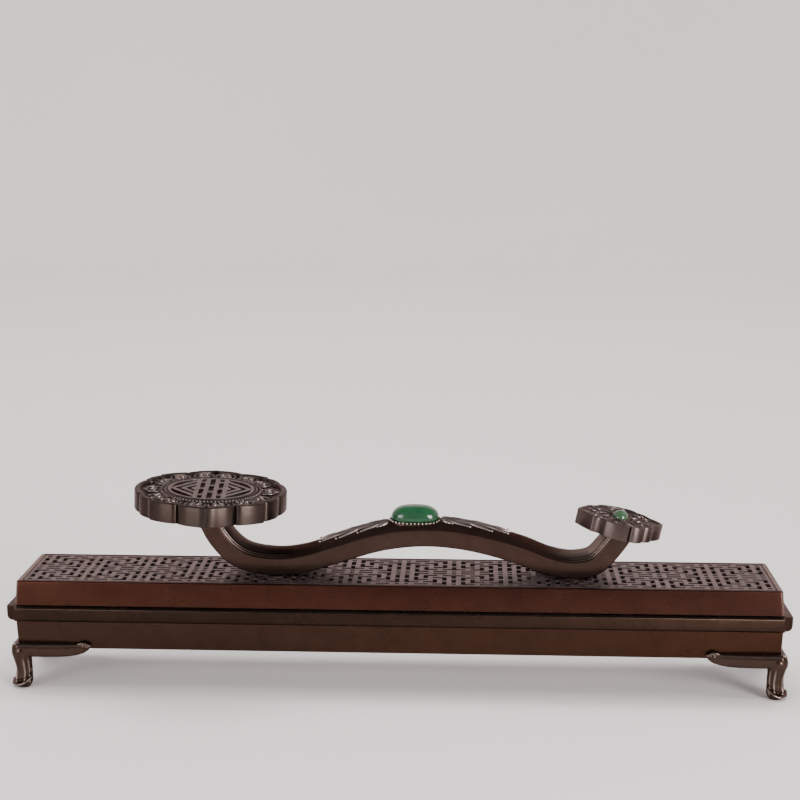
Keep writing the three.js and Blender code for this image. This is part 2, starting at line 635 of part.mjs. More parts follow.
const sceptre = new THREE.Group();
sceptre.add(
  makeBar(),
  makeHead(),
  makeMedallion(),
  makeStud("head_stud", HEAD),
  makeTail(),
  makeStud("tail_stud", TAIL),
  makeCentreBezel(),
  makeCentreStone(),
  makeTailBezel(),
  makeTailStone(),
  makeSpray("leaf_spray_left", SPRAYS.left),
  makeSpray("leaf_spray_right", SPRAYS.right),
);
FIXINGS.forEach((x, i) => {
  const side = i ? "right" : "left";
  sceptre.add(makeHandleScrew("handle_screw_" + side, x), makeWasher("handle_washer_" + side, x));
});
lid.add(sceptre);

burner.add(base, makePad(), lid);

export default burner;
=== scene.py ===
import math
import random

import bmesh
import bpy
from mathutils import Matrix, Vector


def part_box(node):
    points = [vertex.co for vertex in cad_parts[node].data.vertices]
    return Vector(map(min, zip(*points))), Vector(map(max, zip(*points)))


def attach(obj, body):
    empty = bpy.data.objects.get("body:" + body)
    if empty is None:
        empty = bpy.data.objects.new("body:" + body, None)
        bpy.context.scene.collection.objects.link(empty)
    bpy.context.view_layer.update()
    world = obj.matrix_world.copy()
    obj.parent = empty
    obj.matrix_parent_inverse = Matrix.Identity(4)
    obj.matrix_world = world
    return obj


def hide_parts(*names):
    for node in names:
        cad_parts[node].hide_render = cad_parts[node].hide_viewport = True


bl_info = {
    "name": "Horizontal Incense Burner",
    "version": (1, 0, 0),
    "blender": (4, 5, 0),
    "location": "View3D > Sidebar > Burner",
    "description": "Dresses a long bronze incense burner with a fret lid and a ruyi sceptre handle",
    "category": "Object",
}

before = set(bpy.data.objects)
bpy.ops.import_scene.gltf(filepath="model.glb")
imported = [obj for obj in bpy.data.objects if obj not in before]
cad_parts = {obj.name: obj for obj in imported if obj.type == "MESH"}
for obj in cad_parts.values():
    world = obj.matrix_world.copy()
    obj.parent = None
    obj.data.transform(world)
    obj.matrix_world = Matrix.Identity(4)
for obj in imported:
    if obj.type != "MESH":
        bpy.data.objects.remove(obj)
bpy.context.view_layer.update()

MM = 0.001

# Places taken from the frame, in millimetres
TRAY_LOW, TRAY_HIGH = (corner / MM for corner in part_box("tray"))
LID_LOW, LID_HIGH = (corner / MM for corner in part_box("lid_frame"))
FRET_LOW, FRET_HIGH = (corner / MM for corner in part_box("fret_panel"))
PAD_LOW, PAD_HIGH = (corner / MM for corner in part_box("ash_pad"))
STONE_LOW, STONE_HIGH = (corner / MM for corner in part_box("centre_stone"))
LID_TOP = LID_HIGH.z
TRAY_FOOT = TRAY_LOW.z
TRAY_TOP = TRAY_HIGH.z - 2.4
BODY_HALF_X = TRAY_HIGH.x
BODY_HALF_Y = TRAY_HIGH.y

# The sceptre's middle line seen from the front: X, and height above the lid
BAR_LINE = [
    (-66.2, 27), (-60.2, 12.9), (-52.6, 5.5), (-41, 3.1), (-31, 4.1), (-20, 7.5), (-5.5, 11.9),
    (9, 13.6), (23.6, 12.3), (39.5, 8.2), (49.5, 4.4), (58, 3.1), (65.2, 4.7), (70.5, 10.1), (78.6, 22.4),
]
BAR_HALF_WIDTH = 6.8
BAR_BELOW = 2.9
BAR_ARRIS = 2.6
BAR_CROWN = 5.1

# The lobed heads: middle along X, height above the lid, reach to the front point, sideways share
# of it, thickness, tilt down towards +X and turn seen from above, in degrees
HEAD = {"x": -62.5, "top": 28, "reach": 28, "width": 0.904, "thick": 6.5, "tilt": 2.2, "turn": 5}
TAIL = {"x": 73.6, "top": 20.3, "thick": 5.3, "tilt": 11.4, "turn": 2}

# A quarter of a head's outline from its front point round to its end: the angle and the share of
# the reach at each corner, how far the arc to the next one bulges out, and its steps
HEAD_QUARTER = [
    (0, 1, -0.012, 6), (9, 0.935, 0.012, 6), (23.4, 0.893, 0, 2), (25, 0.868, 0, 2), (26.6, 0.901, 0.02, 9),
    (48, 0.98, 0, 2), (50, 0.925, 0, 2), (52, 0.958, 0.02, 7), (67, 0.972, 0, 2), (69, 0.935, 0, 2),
    (71, 0.972, 0.02, 9), (90, 1, 0, 0),
]
# The small head's outline along its front, from end to end: place along it, depth, how far the arc to
# the next corner bulges out, and its steps. Its back is the same.
TAIL_FRONT = [
    (-14.4, 0, 0.2, 5), (-10.5, 6.4, 0.3, 4), (-9.2, 7.4, -0.5, 6), (-6.3, 10.2, 0.5, 9), (1.4, 12.6, 0, 2),
    (1.95, 11.65, 0, 2), (2.6, 12.2, 0.45, 7), (6.4, 10.6, 0, 2), (7.2, 8.9, 0, 2), (8.1, 8.7, 0.4, 6),
    (10.3, 6.0, -0.25, 4), (11.8, 4.1, 0.3, 6), (14.4, 0, 0, 0),
]
# The middle of each lobe of the quarter, in degrees, and the share by which the scrolls are drawn in
LOBES = [11.5, 37.5, 59.5, 90]
HEAD_ROUND = 0.93
# How far back the large head's outline runs before its back point is blunted, in millimetres
BACK_BLUNT = 25.6

# The fret: its columns' kinds, a tile of eleven that repeats with its first kind once more after the
# first tile and after the last, and the ways between its cells, counted from the nearer edge
FRET_TILE = "A4321DD1234"
FRET_KINDS = FRET_TILE + "A" + 6 * FRET_TILE + "A"
OPENS_INWARD = {"A": (1, 3), "D": (1, 3), "1": (2, 4), "2": (3,), "3": (1,), "4": (0, 2)}
OPENS_SIDEWAYS = [("12", "34"), ("1D", "23"), ("12",), ("34",), ("23", "4A"), ("12", "34")]
FRET_COLUMNS = len(FRET_KINDS)
FRET_ROWS = 12
FRET_EDGE = 1.1
FRET_BAR_X = 1.65
FRET_BAR_Y = 1.15
FIXINGS = (-40.5, 57.5)


def length(name, description, millimetres):
    """A property that holds a length."""
    return bpy.props.FloatProperty(
        name=name, description=description, default=millimetres * MM, min=0, precision=5,
        subtype="DISTANCE", unit="LENGTH",
    )


def colour(name, description, red, green, blue):
    """A property that holds a colour."""
    return bpy.props.FloatVectorProperty(
        name=name, description=description, default=(red, green, blue), min=0, max=1, subtype="COLOR",
    )


class BurnerSizes(bpy.types.PropertyGroup):
    """The small sizes of the finish."""

    arris: length("Arris", "Radius of the rounded edges of the lid and the tray", 0.45)
    fret_arris: length("Fret arris", "Bevel on the edges of the fret bars", 0.14)
    ridge: length("Ridge", "Height of the twin lines along the sceptre", 0.15)
    pearl: length("Pearl", "Radius of the pearls in the eyes of the scrolls", 0.5)
    scroll: length("Scroll", "Radius of the scrolls' raised lines", 0.4)
    foot_grain: length("Foot grain", "Size of the cells that round off the cast feet", 0.19)


class BurnerColours(bpy.types.PropertyGroup):
    """The colours of the finishes."""

    tray: colour("Tray", "Dark olive brown of the tray", 0.036, 0.02, 0.014)
    tray_warm: colour("Tray, warm", "Reddish areas of the tray", 0.043, 0.019, 0.011)
    rim: colour("Rim", "Dark brown of the moulded rim", 0.023, 0.014, 0.01)
    foot: colour("Feet", "Brown of the feet", 0.05, 0.033, 0.026)
    foot_warm: colour("Feet, warm", "Reddish areas of the feet", 0.048, 0.028, 0.02)
    lid: colour("Lid", "Reddish brown of the lid's sides", 0.054, 0.02, 0.013)
    lid_dark: colour("Lid, dark", "Darker areas of the lid's sides", 0.043, 0.018, 0.013)
    # The fret's bronze, lightened as painted reflection of the backdrop on the tops of its bars
    fret: colour("Fret", "Greyish brown of the fret", 0.182, 0.145, 0.14)
    fret_warm: colour("Fret, warm", "Reddish areas of the fret", 0.17, 0.125, 0.119)
    sceptre: colour("Sceptre", "Brown of the sceptre", 0.048, 0.031, 0.025)
    sceptre_warm: colour("Sceptre, warm", "Warmer areas of the sceptre", 0.05, 0.027, 0.021)
    head: colour("Heads", "Grey brown of the heads", 0.048, 0.037, 0.032)
    head_warm: colour("Heads, warm", "Pinkish areas of the heads", 0.046, 0.031, 0.027)
    # Painted light: a lighter copy of the heads' bronze for the small head, which stands nearer the right soft box
    tail: colour("Small head", "Grey brown of the small head", 0.092, 0.073, 0.067)
    tail_warm: colour("Small head, warm", "Pinkish areas of the small head", 0.098, 0.068, 0.063)
    # Painted reflection: the heads' bronze lightened for the up-facing scrolls and leaves, for the backdrop seen in
    # their tops
    relief: colour("Relief", "Grey brown of the scrolls and leaves", 0.17, 0.143, 0.137)
    relief_warm: colour("Relief, warm", "Pinkish areas of the scrolls and leaves", 0.175, 0.135, 0.13)
    # Worn metal, also the colour of the painted highlights and reflections marked on the pieces
    worn: colour("Worn edge", "Metal that shows where the patina is rubbed", 0.42, 0.34, 0.3)
    # Polished tops of the pearls and beads, lightened further as painted glints
    pearl: colour("Pearls", "Polished tops of the pearls and beads", 0.36, 0.29, 0.26)
    # Dark patina in the hollows, which also serves as painted shade there
    patina_and_shade_colour: colour("Grime", "Dark patina in the hollows", 0.012, 0.008, 0.006)
    brass: colour("Brass", "Plain brass of the screws", 0.5, 0.33, 0.12)
    stone: colour("Green stone", "The oval stone", 0.004, 0.041, 0.014)
    pale_stone: colour("Pale stone", "The small round stone", 0.026, 0.062, 0.028)
    felt: colour("Felt", "The pad", 0.62, 0.57, 0.48)
    floor: colour("Floor", "The pale floor", 0.785, 0.738, 0.732)


def link(name, mesh):
    """An object for a mesh, in the scene."""
    piece = bpy.data.objects.new(name, mesh)
    bpy.context.scene.collection.objects.link(piece)
    return piece


def make_mesh(name, shape, sharp=40):
    """A smooth-shaded mesh of (points in millimetres, faces), with edges over sharp degrees kept."""
    points, faces = shape
    mesh = bpy.data.meshes.new(name)
    mesh.from_pydata([Vector(point) * MM for point in points], [], faces)
    mesh.validate()
    build = bmesh.new()
    build.from_mesh(mesh)
    bmesh.ops.recalc_face_normals(build, faces=build.faces)
    build.to_mesh(mesh)
    build.free()
    mesh.shade_smooth()
    mesh.set_sharp_from_angle(angle=math.radians(sharp))
    return mesh


def place(piece, body, material, slot, *nodes):
    """Gives a piece its finish, its body and the nodes that it stands for."""
    piece.data.materials.clear()
    piece.data.materials.append(material)
    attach(piece, body)
    if nodes:
        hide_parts(*nodes)
    return piece


def make_piece(name, shape, body, material, slot, *nodes, sharp=40, wear_and_painted_light=None):
    """A piece of the object, from its points and faces, and its wear and painted light at each point."""
    mesh = make_mesh(name, shape, sharp)
    if wear_and_painted_light:
        mesh.attributes.new("wear_and_painted_light", "FLOAT", "POINT").data.foreach_set("value", wear_and_painted_light)
    return place(link(name, mesh), body, material, slot, *nodes)


def joined(shapes):
    """Several (points, faces) as one."""
    points, faces = [], []
    for more_points, more_faces in shapes:
        start = len(points)
        points.extend(more_points)
        faces.extend([start + i for i in face] for face in more_faces)
    return points, faces


def loft(rings, caps=(True, True), looped=False):
    """A skin over rings with the same number of points each."""
    size = len(rings[0])
    points = [point for ring in rings for point in ring]
    faces = []
    spans = len(rings) if looped else len(rings) - 1
    for level in range(spans):
        low = level * size
        high = (level + 1) % len(rings) * size
        for i in range(size):
            j = (i + 1) % size
            faces.append([low + i, low + j, high + j, high + i])
    if not looped and caps[0]:
        faces.append(list(range(size))[::-1])
    if not looped and caps[1]:
        faces.append([(len(rings) - 1) * size + i for i in range(size)])
    return points, faces


def round_corners(points, radius, steps=3):
    """A closed outline of 2-D points with every corner turned into an arc."""
    made = []
    for i, corner in enumerate(points):
        corner = Vector(corner)
        before = Vector(points[i - 1]) - corner
        after = Vector(points[(i + 1) % len(points)]) - corner
        start = corner + before.normalized() * min(radius, 0.45 * before.length)
        end = corner + after.normalized() * min(radius, 0.45 * after.length)
        for step in range(steps + 1):
            t = step / steps
            made.append((1 - t) ** 2 * start + 2 * t * (1 - t) * corner + t * t * end)
    return made


def rounded_rectangle(half_x, half_y, corner, z, steps=6):
    """A level ring of a rectangle with round corners."""
    ring = []
    for sign_x, sign_y, start in ((1, 1, 0), (-1, 1, 90), (-1, -1, 180), (1, -1, 270)):
        for step in range(steps + 1):
            turn = math.radians(start + 90 * step / steps)
            x = sign_x * (half_x - corner) + corner * math.cos(turn)
            y = sign_y * (half_y - corner) + corner * math.sin(turn)
            ring.append(Vector((x, y, z)))
    return ring


def squared(value, power):
    """A sine or cosine brought nearer to 1, with its sign kept."""
    return math.copysign(abs(value) ** power, value)


def turned(profile, sides, scale=(1, 1), middle=(0, 0, 0), power=1.0):
    """A skin turned about +Z from (radius, height); a profile that starts or ends at 0 is closed there.

    A power under 1 makes its plan squarer.
    """
    middle = Vector(middle)
    points, faces, rows = [], [], []
    for radius, z in profile:
        if radius < 1e-6:
            rows.append([len(points)] * sides)
            points.append(middle + Vector((0, 0, z)))
            continue
        rows.append([len(points) + i for i in range(sides)])
        for i in range(sides):
            turn = 2 * math.pi * i / sides
            around = Vector((scale[0] * squared(math.cos(turn), power), scale[1] * squared(math.sin(turn), power), 0))
            points.append(middle + radius * around + Vector((0, 0, z)))
    for low, high in zip(rows, rows[1:]):
        for i in range(sides):
            j = (i + 1) % sides
            corners = [low[i], low[j], high[j], high[i]]
            faces.append(list(dict.fromkeys(corners)))
    return points, faces


def bead(middle, radius, up=None, flat=1.0, sides=12, rows=6):
    """A whole small ball, or a flatter one, with its axis along up."""
    profile = []
    for row in range(rows + 1):
        turn = math.pi * row / rows
        profile.append((radius * math.sin(turn), -radius * flat * math.cos(turn)))
    points, faces = turned(profile, sides)
    if up is not None:
        spin = Vector((0, 0, 1)).rotation_difference(Vector(up))
        points = [spin @ point for point in points]
    middle = Vector(middle)
    return [middle + point for point in points], faces


def tube(path, radii, sides=8, up=Vector((0, 0, 1)), flat=1.0):
    """A rod along a path, with a radius for every point and round ends."""
    rings = []
    last = len(path) - 1
    for i, point in enumerate(path):
        along = (path[min(i + 1, last)] - path[max(i - 1, 0)]).normalized()
        side = along.cross(up).normalized()
        over = side.cross(along)
        ring = []
        for step in range(sides):
            turn = 2 * math.pi * step / sides
            ring.append(point + radii[i] * (math.cos(turn) * side + flat * math.sin(turn) * over))
        rings.append(ring)
    return loft(rings)


def evenly(outline, count):
    """Points at even steps along a closed outline."""
    ends = outline[1:] + outline[:1]
    lengths = [(b - a).length for a, b in zip(outline, ends)]
    made = []
    walked = 0.0
    for a, b, span in zip(outline, ends, lengths):
        while len(made) < count and walked + span > (len(made) + 0.5) * sum(lengths) / count:
            share = ((len(made) + 0.5) * sum(lengths) / count - walked) / span
            made.append(a.lerp(b, share))
        walked += span
    return made


def sloped(value, low, high):
    """A smooth step from 0 at low to 1 at high."""
    t = min(1, max(0, (value - low) / (high - low)))
    return t * t * (3 - 2 * t)


def settled(piece):
    """The piece with its modifiers worked into its mesh."""
    graph = bpy.context.evaluated_depsgraph_get()
    mesh = bpy.data.meshes.new_from_object(piece.evaluated_get(graph))
    old = piece.data
    piece.modifiers.clear()
    piece.data = mesh
    mesh.name = piece.name
    bpy.data.meshes.remove(old)
    return piece


def bevelled(piece, width, segments=2, angle=40):
    """Takes the sharpness off the edges of a piece."""
    bevel = piece.modifiers.new("Arris", "BEVEL")
    bevel.width = width
    bevel.segments = segments
    bevel.limit_method = "ANGLE"
    bevel.angle_limit = math.radians(angle)
    bevel.harden_normals = True
    return piece


class Nodes:
    """A short way to write a material's nodes."""

    def __init__(self, name):
        self.material = bpy.data.materials.new("finish_" + name)
        self.material.use_nodes = True
        self.tree = self.material.node_tree
        self.shader = self.tree.nodes["Principled BSDF"]
        self.place = self.add("ShaderNodeTexCoord").outputs["Object"]

    def add(self, kind, inputs=None, **settings):
        """A node with its settings, and its inputs given by name or number."""
        node = self.tree.nodes.new(kind)
        for name, value in settings.items():
            setattr(node, name, value)
        for key, value in (inputs or {}).items():
            self.set(node.inputs[key], value)
        return node

    def set(self, socket, value):
        """A link for an output, or else a plain value."""
        if isinstance(value, bpy.types.NodeSocket):
            self.tree.links.new(value, socket)
        else:
            socket.default_value = value

    def noise(self, scale, detail=4, roughness=0.6, stretch=None):
        """The grey of a noise over the object's own coordinates."""
        place = self.place
        if stretch:
            place = self.add("ShaderNodeMapping", {"Vector": place, "Scale": stretch}).outputs[0]
        inputs = {"Vector": place, "Scale": scale, "Detail": detail, "Roughness": roughness}
        return self.add("ShaderNodeTexNoise", inputs).outputs[0]

    def span(self, value, low, high, to_low=0, to_high=1):
        """A value brought from one range to another, and held inside it."""
        inputs = {0: value, 1: low, 2: high, 3: to_low, 4: to_high}
        return self.add("ShaderNodeMapRange", inputs).outputs[0]

    def mix(self, share, first, second, blend="MIX"):
        """Two colours mixed."""
        node = self.add("ShaderNodeMix", data_type="RGBA", blend_type=blend)
        self.set(node.inputs[0], share)
        self.set(node.inputs[6], first)
        self.set(node.inputs[7], second)
        return node.outputs[2]

    def maths(self, operation, first, second=0.0):
        """Two values put together."""
        return self.add("ShaderNodeMath", {0: first, 1: second}, operation=operation).outputs[0]

    def finish(self, **sockets):
        """Sets the shader's own sockets."""
        for name, value in sockets.items():
            self.set(self.shader.inputs[name.replace("_", " ")], value)
        return self.material


def rgba(value):
    """A colour property with full alpha."""
    return (*value, 1.0)


def bronze(name, main, warm, roughness=0.3, wear=0.3, hollow=0.6, patina_and_shade_strength=0.6, patches=28.0, sheen=0.5,
           brushed=0.0, grain=1.0):
    """Patinated bronze: drifting tone, dark patina and painted shade in the hollows, rubbed edges and painted light
    marked on the points, fine brushing and dust.

    sheen is how light the finish gets where it is seen at a low angle, brushed is how much level
    brushing draws its lights out up and down, and grain is how strong the fine streaks are.
    """
    colours = bpy.context.scene.burner_colours
    nodes = Nodes(name)
    drift = nodes.span(nodes.noise(patches, 3, 0.55), 0.38, 0.66)
    base = nodes.mix(drift, rgba(main), rgba(warm))
    cloud = nodes.span(nodes.noise(patches * 9, 6, 0.7), 0.3, 0.75, 0.84, 1.14)
    grey = nodes.add("ShaderNodeCombineColor", {0: cloud, 1: cloud, 2: cloud}).outputs[0]
    base = nodes.mix(1.0, base, grey, "MULTIPLY")
    # Dark patina and painted shade: the colour darkens where ambient occlusion finds the surface hemmed in
    shade = nodes.add("ShaderNodeAmbientOcclusion", {"Distance": hollow * MM}, samples=6)
    patina_and_shade_share = nodes.span(shade.outputs["AO"], 0.35, 0.85, patina_and_shade_strength, 0.0)
    base = nodes.mix(patina_and_shade_share, base, rgba(colours.patina_and_shade_colour))
    edge = nodes.add("ShaderNodeAmbientOcclusion", {"Distance": 0.3 * MM}, samples=4, inside=True)
    broken = nodes.span(nodes.noise(900, 4, 0.7), 0.35, 0.6)
    wear_and_painted_light = nodes.maths("MULTIPLY", nodes.span(edge.outputs["AO"], 0.55, 0.9, wear, 0.0), broken)
    # Painted light marked point by point on the pieces (highlights, reflections, lifted shade), with some real wear
    painted_light_and_wear_marks = nodes.add("ShaderNodeAttribute", attribute_name="wear_and_painted_light").outputs["Fac"]
    wear_and_painted_light = nodes.maths("MAXIMUM", wear_and_painted_light, painted_light_and_wear_marks)
    base = nodes.mix(wear_and_painted_light, base, rgba(colours.worn))
    brushing = nodes.noise(260, 5, 0.65, (0.25, 3.0, 6.0))
    rough = nodes.span(brushing, 0.25, 0.75, roughness - 0.07 * grain, roughness + 0.09 * grain)
    dull = nodes.span(nodes.noise(patches * 3, 4, 0.6), 0.3, 0.7, -0.04, 0.06)
    rough = nodes.maths("ADD", rough, dull)
    pits = nodes.maths("MULTIPLY", nodes.noise(2200, 3, 0.6), 0.5)
    relief = nodes.maths("ADD", nodes.maths("MULTIPLY", brushing, 0.35 * grain), pits)
    bump = nodes.add("ShaderNodeBump", {"Height": relief, "Strength": 0.22, "Distance": 0.06 * MM})
    if brushed:
        round_about = nodes.add("ShaderNodeTangent", direction_type="RADIAL", axis="Z").outputs[0]
        nodes.finish(Anisotropic=brushed, Anisotropic_Rotation=0.25, Tangent=round_about)
    return nodes.finish(
        Base_Color=base, Metallic=0.95, Roughness=rough, Normal=bump.outputs[0],
        Specular_Tint=(sheen, 0.9 * sheen, 0.89 * sheen, 1.0),
    )


FINISHES = {}


def finish_for(name):
    """The named finish, made once."""
    if name not in FINISHES:
        FINISHES[name] = make_finish(name)
    return FINISHES[name]


def make_finish(name):
    """A new material for the name."""
    colours = bpy.context.scene.burner_colours
    makers = {
        "tray_bronze": lambda: bronze(name, colours.tray, colours.tray_warm, roughness=0.28, wear=0.12,
                                      patina_and_shade_strength=0.2, patches=14, sheen=0.6, grain=0.15),
        "rim_bronze": lambda: bronze(name, colours.rim, colours.tray, roughness=0.28, wear=0.2, patina_and_shade_strength=0.3,
                                     patches=14, sheen=0.6, grain=0.25),
        "foot_bronze": lambda: bronze(name, colours.foot, colours.foot_warm, roughness=0.17, wear=0.05,
                                      hollow=0.8, patina_and_shade_strength=0.3, patches=50, sheen=0.7),
        "lid_bronze": lambda: bronze(name, colours.lid, colours.lid_dark, roughness=0.26, wear=0.14, patina_and_shade_strength=0.3,
                                     patches=12, sheen=0.6, grain=0.12),
        # Painted reflection on the fret's tops, through its lighter colour
        "fret_bronze": lambda: bronze(name, colours.fret, colours.fret_warm, roughness=0.34, wear=0.1,
                                      hollow=0.8, patches=34, sheen=0.78),
        "sceptre_bronze": lambda: bronze(name, colours.sceptre, colours.sceptre_warm, roughness=0.3, wear=0.1,
                                         patches=22, sheen=0.42),
        "head_bronze": lambda: bronze(name, colours.head, colours.head_warm, roughness=0.36, wear=0.25,
                                      hollow=0.4, patina_and_shade_strength=0.4, patches=70, sheen=0.6, brushed=0.85),
        # Painted light: the same bronze as the large head, lightened for the small head
        "tail_lit_bronze": lambda: bronze(name, colours.tail, colours.tail_warm, roughness=0.36, wear=0.25,
                                      hollow=0.4, patina_and_shade_strength=0.4, patches=70, sheen=0.7, brushed=0.85),
        # Painted reflection on the relief's tops, through its lighter colour
        "relief_lit_bronze": lambda: bronze(name, colours.relief, colours.relief_warm, roughness=0.36, wear=0.1,
                                        hollow=1.0, patina_and_shade_strength=0.5, patches=60, sheen=0.7),
        # Polished pearls, lightened further as painted glints
        "pearl_bronze": lambda: bronze(name, colours.pearl, colours.pearl, roughness=0.2, wear=0.0,
                                       patina_and_shade_strength=0.5, patches=40, sheen=0.8),
        "screw_brass": brass,
        "green_stone": lambda: jade(name, colours.stone, 0.35),
        "pale_green_stone": lambda: jade(name, colours.pale_stone, 0.3),
        "pad_felt": felt,
    }
    return makers[name]()


def brass():
    """Plain turned brass with fine rings and a little tarnish."""
    colours = bpy.context.scene.burner_colours
    nodes = Nodes("screw_brass")
    tarnish = nodes.span(nodes.noise(500, 5, 0.65), 0.35, 0.7)
    base = nodes.mix(tarnish, rgba(colours.brass), rgba(colours.head))
    rough = nodes.span(nodes.noise(1500, 3, 0.6), 0.3, 0.7, 0.22, 0.4)
    return nodes.finish(Base_Color=base, Metallic=1.0, Roughness=rough)


def jade(name, tone, cloud_share):
    """A polished translucent stone with faint clouds inside."""
    nodes = Nodes(name)
    cloud = nodes.span(nodes.noise(260, 5, 0.6), 0.35, 0.7, 0.0, cloud_share)
    pale = tuple(min(1.0, part * 2.2 + 0.01) for part in tone)
    base = nodes.mix(cloud, rgba(tone), rgba(pale))
    return nodes.finish(
        Base_Color=base, Roughness=0.12, IOR=1.5,
        Subsurface_Weight=0.2, Subsurface_Radius=(0.2, 1.0, 0.3), Subsurface_Scale=1.2 * MM,
    )


def felt():
    """Pressed fibre felt with fine tangled fibres and a few scorched flecks."""
    colours = bpy.context.scene.burner_colours
    nodes = Nodes("pad_felt")
    fibre = nodes.noise(1400, 8, 0.75, (1.0, 1.6, 1.0))
    tone = nodes.span(fibre, 0.3, 0.75, 0.72, 1.08)
    grey = nodes.add("ShaderNodeCombineColor", {0: tone, 1: tone, 2: tone}).outputs[0]
    base = nodes.mix(1.0, rgba(colours.felt), grey, "MULTIPLY")
    scorch = nodes.span(nodes.noise(60, 6, 0.7), 0.62, 0.8, 0.0, 0.55)
    base = nodes.mix(scorch, base, (0.16, 0.11, 0.07, 1.0))
    bump = nodes.add("ShaderNodeBump", {"Height": fibre, "Strength": 0.8, "Distance": 0.25 * MM})
    return nodes.finish(
        Base_Color=base, Roughness=0.95, Sheen_Weight=0.35, Sheen_Roughness=0.6, Normal=bump.outputs[0],
    )


class BURNER_OT_tray(bpy.types.Operator):
    """Make the tray, its upstand and the moulded rim round its top."""

    bl_idname = "burner.tray"
    bl_label = "Tray"

    wall = 2.8
    floor = 2.0
    corner = 0.9
    draft = 0.4
    rim_reach = 2.9
    rim_drop = 4.9
    # Painted light on the ledge where the lid is set down, lifting the shadow under the lid's foot
    ledge_painted_light = 0.2

    def execute(self, context):
        arris = context.scene.burner_sizes.arris / MM
        make_piece("tray_shell", self.shell(), "base", finish_for("tray_bronze"), "tray_bronze", "tray", sharp=30)
        for name, side, along_x in (("front", -1, True), ("back", 1, True), ("left", -1, False), ("right", 1, False)):
            moulding = self.rim(side, along_x, arris)
            # Painted light along the tops of the mouldings, lifting the shadow under the lid
            wear_and_painted_light = [self.ledge_painted_light if self.on_ledge(point, along_x) else 0.0 for point in moulding[0]]
            make_piece(name + "_moulding", moulding, "base", finish_for("rim_bronze"), "tray_bronze",
                       name + "_rim_strip", sharp=30, wear_and_painted_light=wear_and_painted_light)
        return {"FINISHED"}

    def on_ledge(self, point, along_x):
        """True on top of a moulding, short of its ends."""
        along, half = (point.x, BODY_HALF_X) if along_x else (point.y, BODY_HALF_Y)
        return point.z > TRAY_TOP - 0.03 and abs(along) < half - 0.4

    def shell(self):
        """The trough, from the middle of its underside up and over to the middle of its floor."""
        top = TRAY_HIGH.z
        foot = self.draft
        profile = [
            (foot + 0.8, TRAY_FOOT), (foot + 0.4, TRAY_FOOT + 0.05), (foot + 0.12, TRAY_FOOT + 0.2),
            (foot, TRAY_FOOT + 0.55), (0, TRAY_TOP - self.rim_drop), (0, TRAY_TOP - 0.1), (0.1, TRAY_TOP),
            (1.95, TRAY_TOP), (1.95, top - 0.35), (2.05, top - 0.1), (2.2, top), (2.6, top), (2.75, top - 0.1),
            (self.wall, top - 0.3), (self.wall, TRAY_FOOT + self.floor + 0.6),
            (self.wall + 0.2, TRAY_FOOT + self.floor + 0.15), (self.wall + 0.7, TRAY_FOOT + self.floor),
        ]
        rings = []
        for inset, z in profile:
            corner = max(0.5, self.corner - 0.2 * inset)
            rings.append(rounded_rectangle(BODY_HALF_X - inset, BODY_HALF_Y - inset, corner, z))
        return loft(rings)

    def rim(self, side, along_x, arris):
        """One side's moulding: a flat face rounded under to its foot, square at its ends."""
        reach = self.rim_reach
        foot = TRAY_TOP - self.rim_drop
        outline = [
            (0, TRAY_TOP), (reach, TRAY_TOP), (reach, foot + 2.0), (reach - 0.25, foot + 1.0),
            (reach - 0.9, foot + 0.3), (reach - 1.9, foot), (0, foot),
        ]
        half = (BODY_HALF_X if along_x else BODY_HALF_Y) - 0.1
        rings = []
        for end in (-1, 1):
            for back, inset in ((0, 0.5), (0.15, 0.2), (0.5, 0))[::-end]:
                along = end * (half - back)
                section = round_corners([(min(r, reach - inset), z) for r, z in outline], 0.6 * arris, 4)
                ring = []
                for r, z in section:
                    if along_x:
                        ring.append(Vector((along, side * (BODY_HALF_Y + r), z)))
                    else:
                        ring.append(Vector((side * (BODY_HALF_X + r), along, z)))
                rings.append(ring)
        return loft(rings)


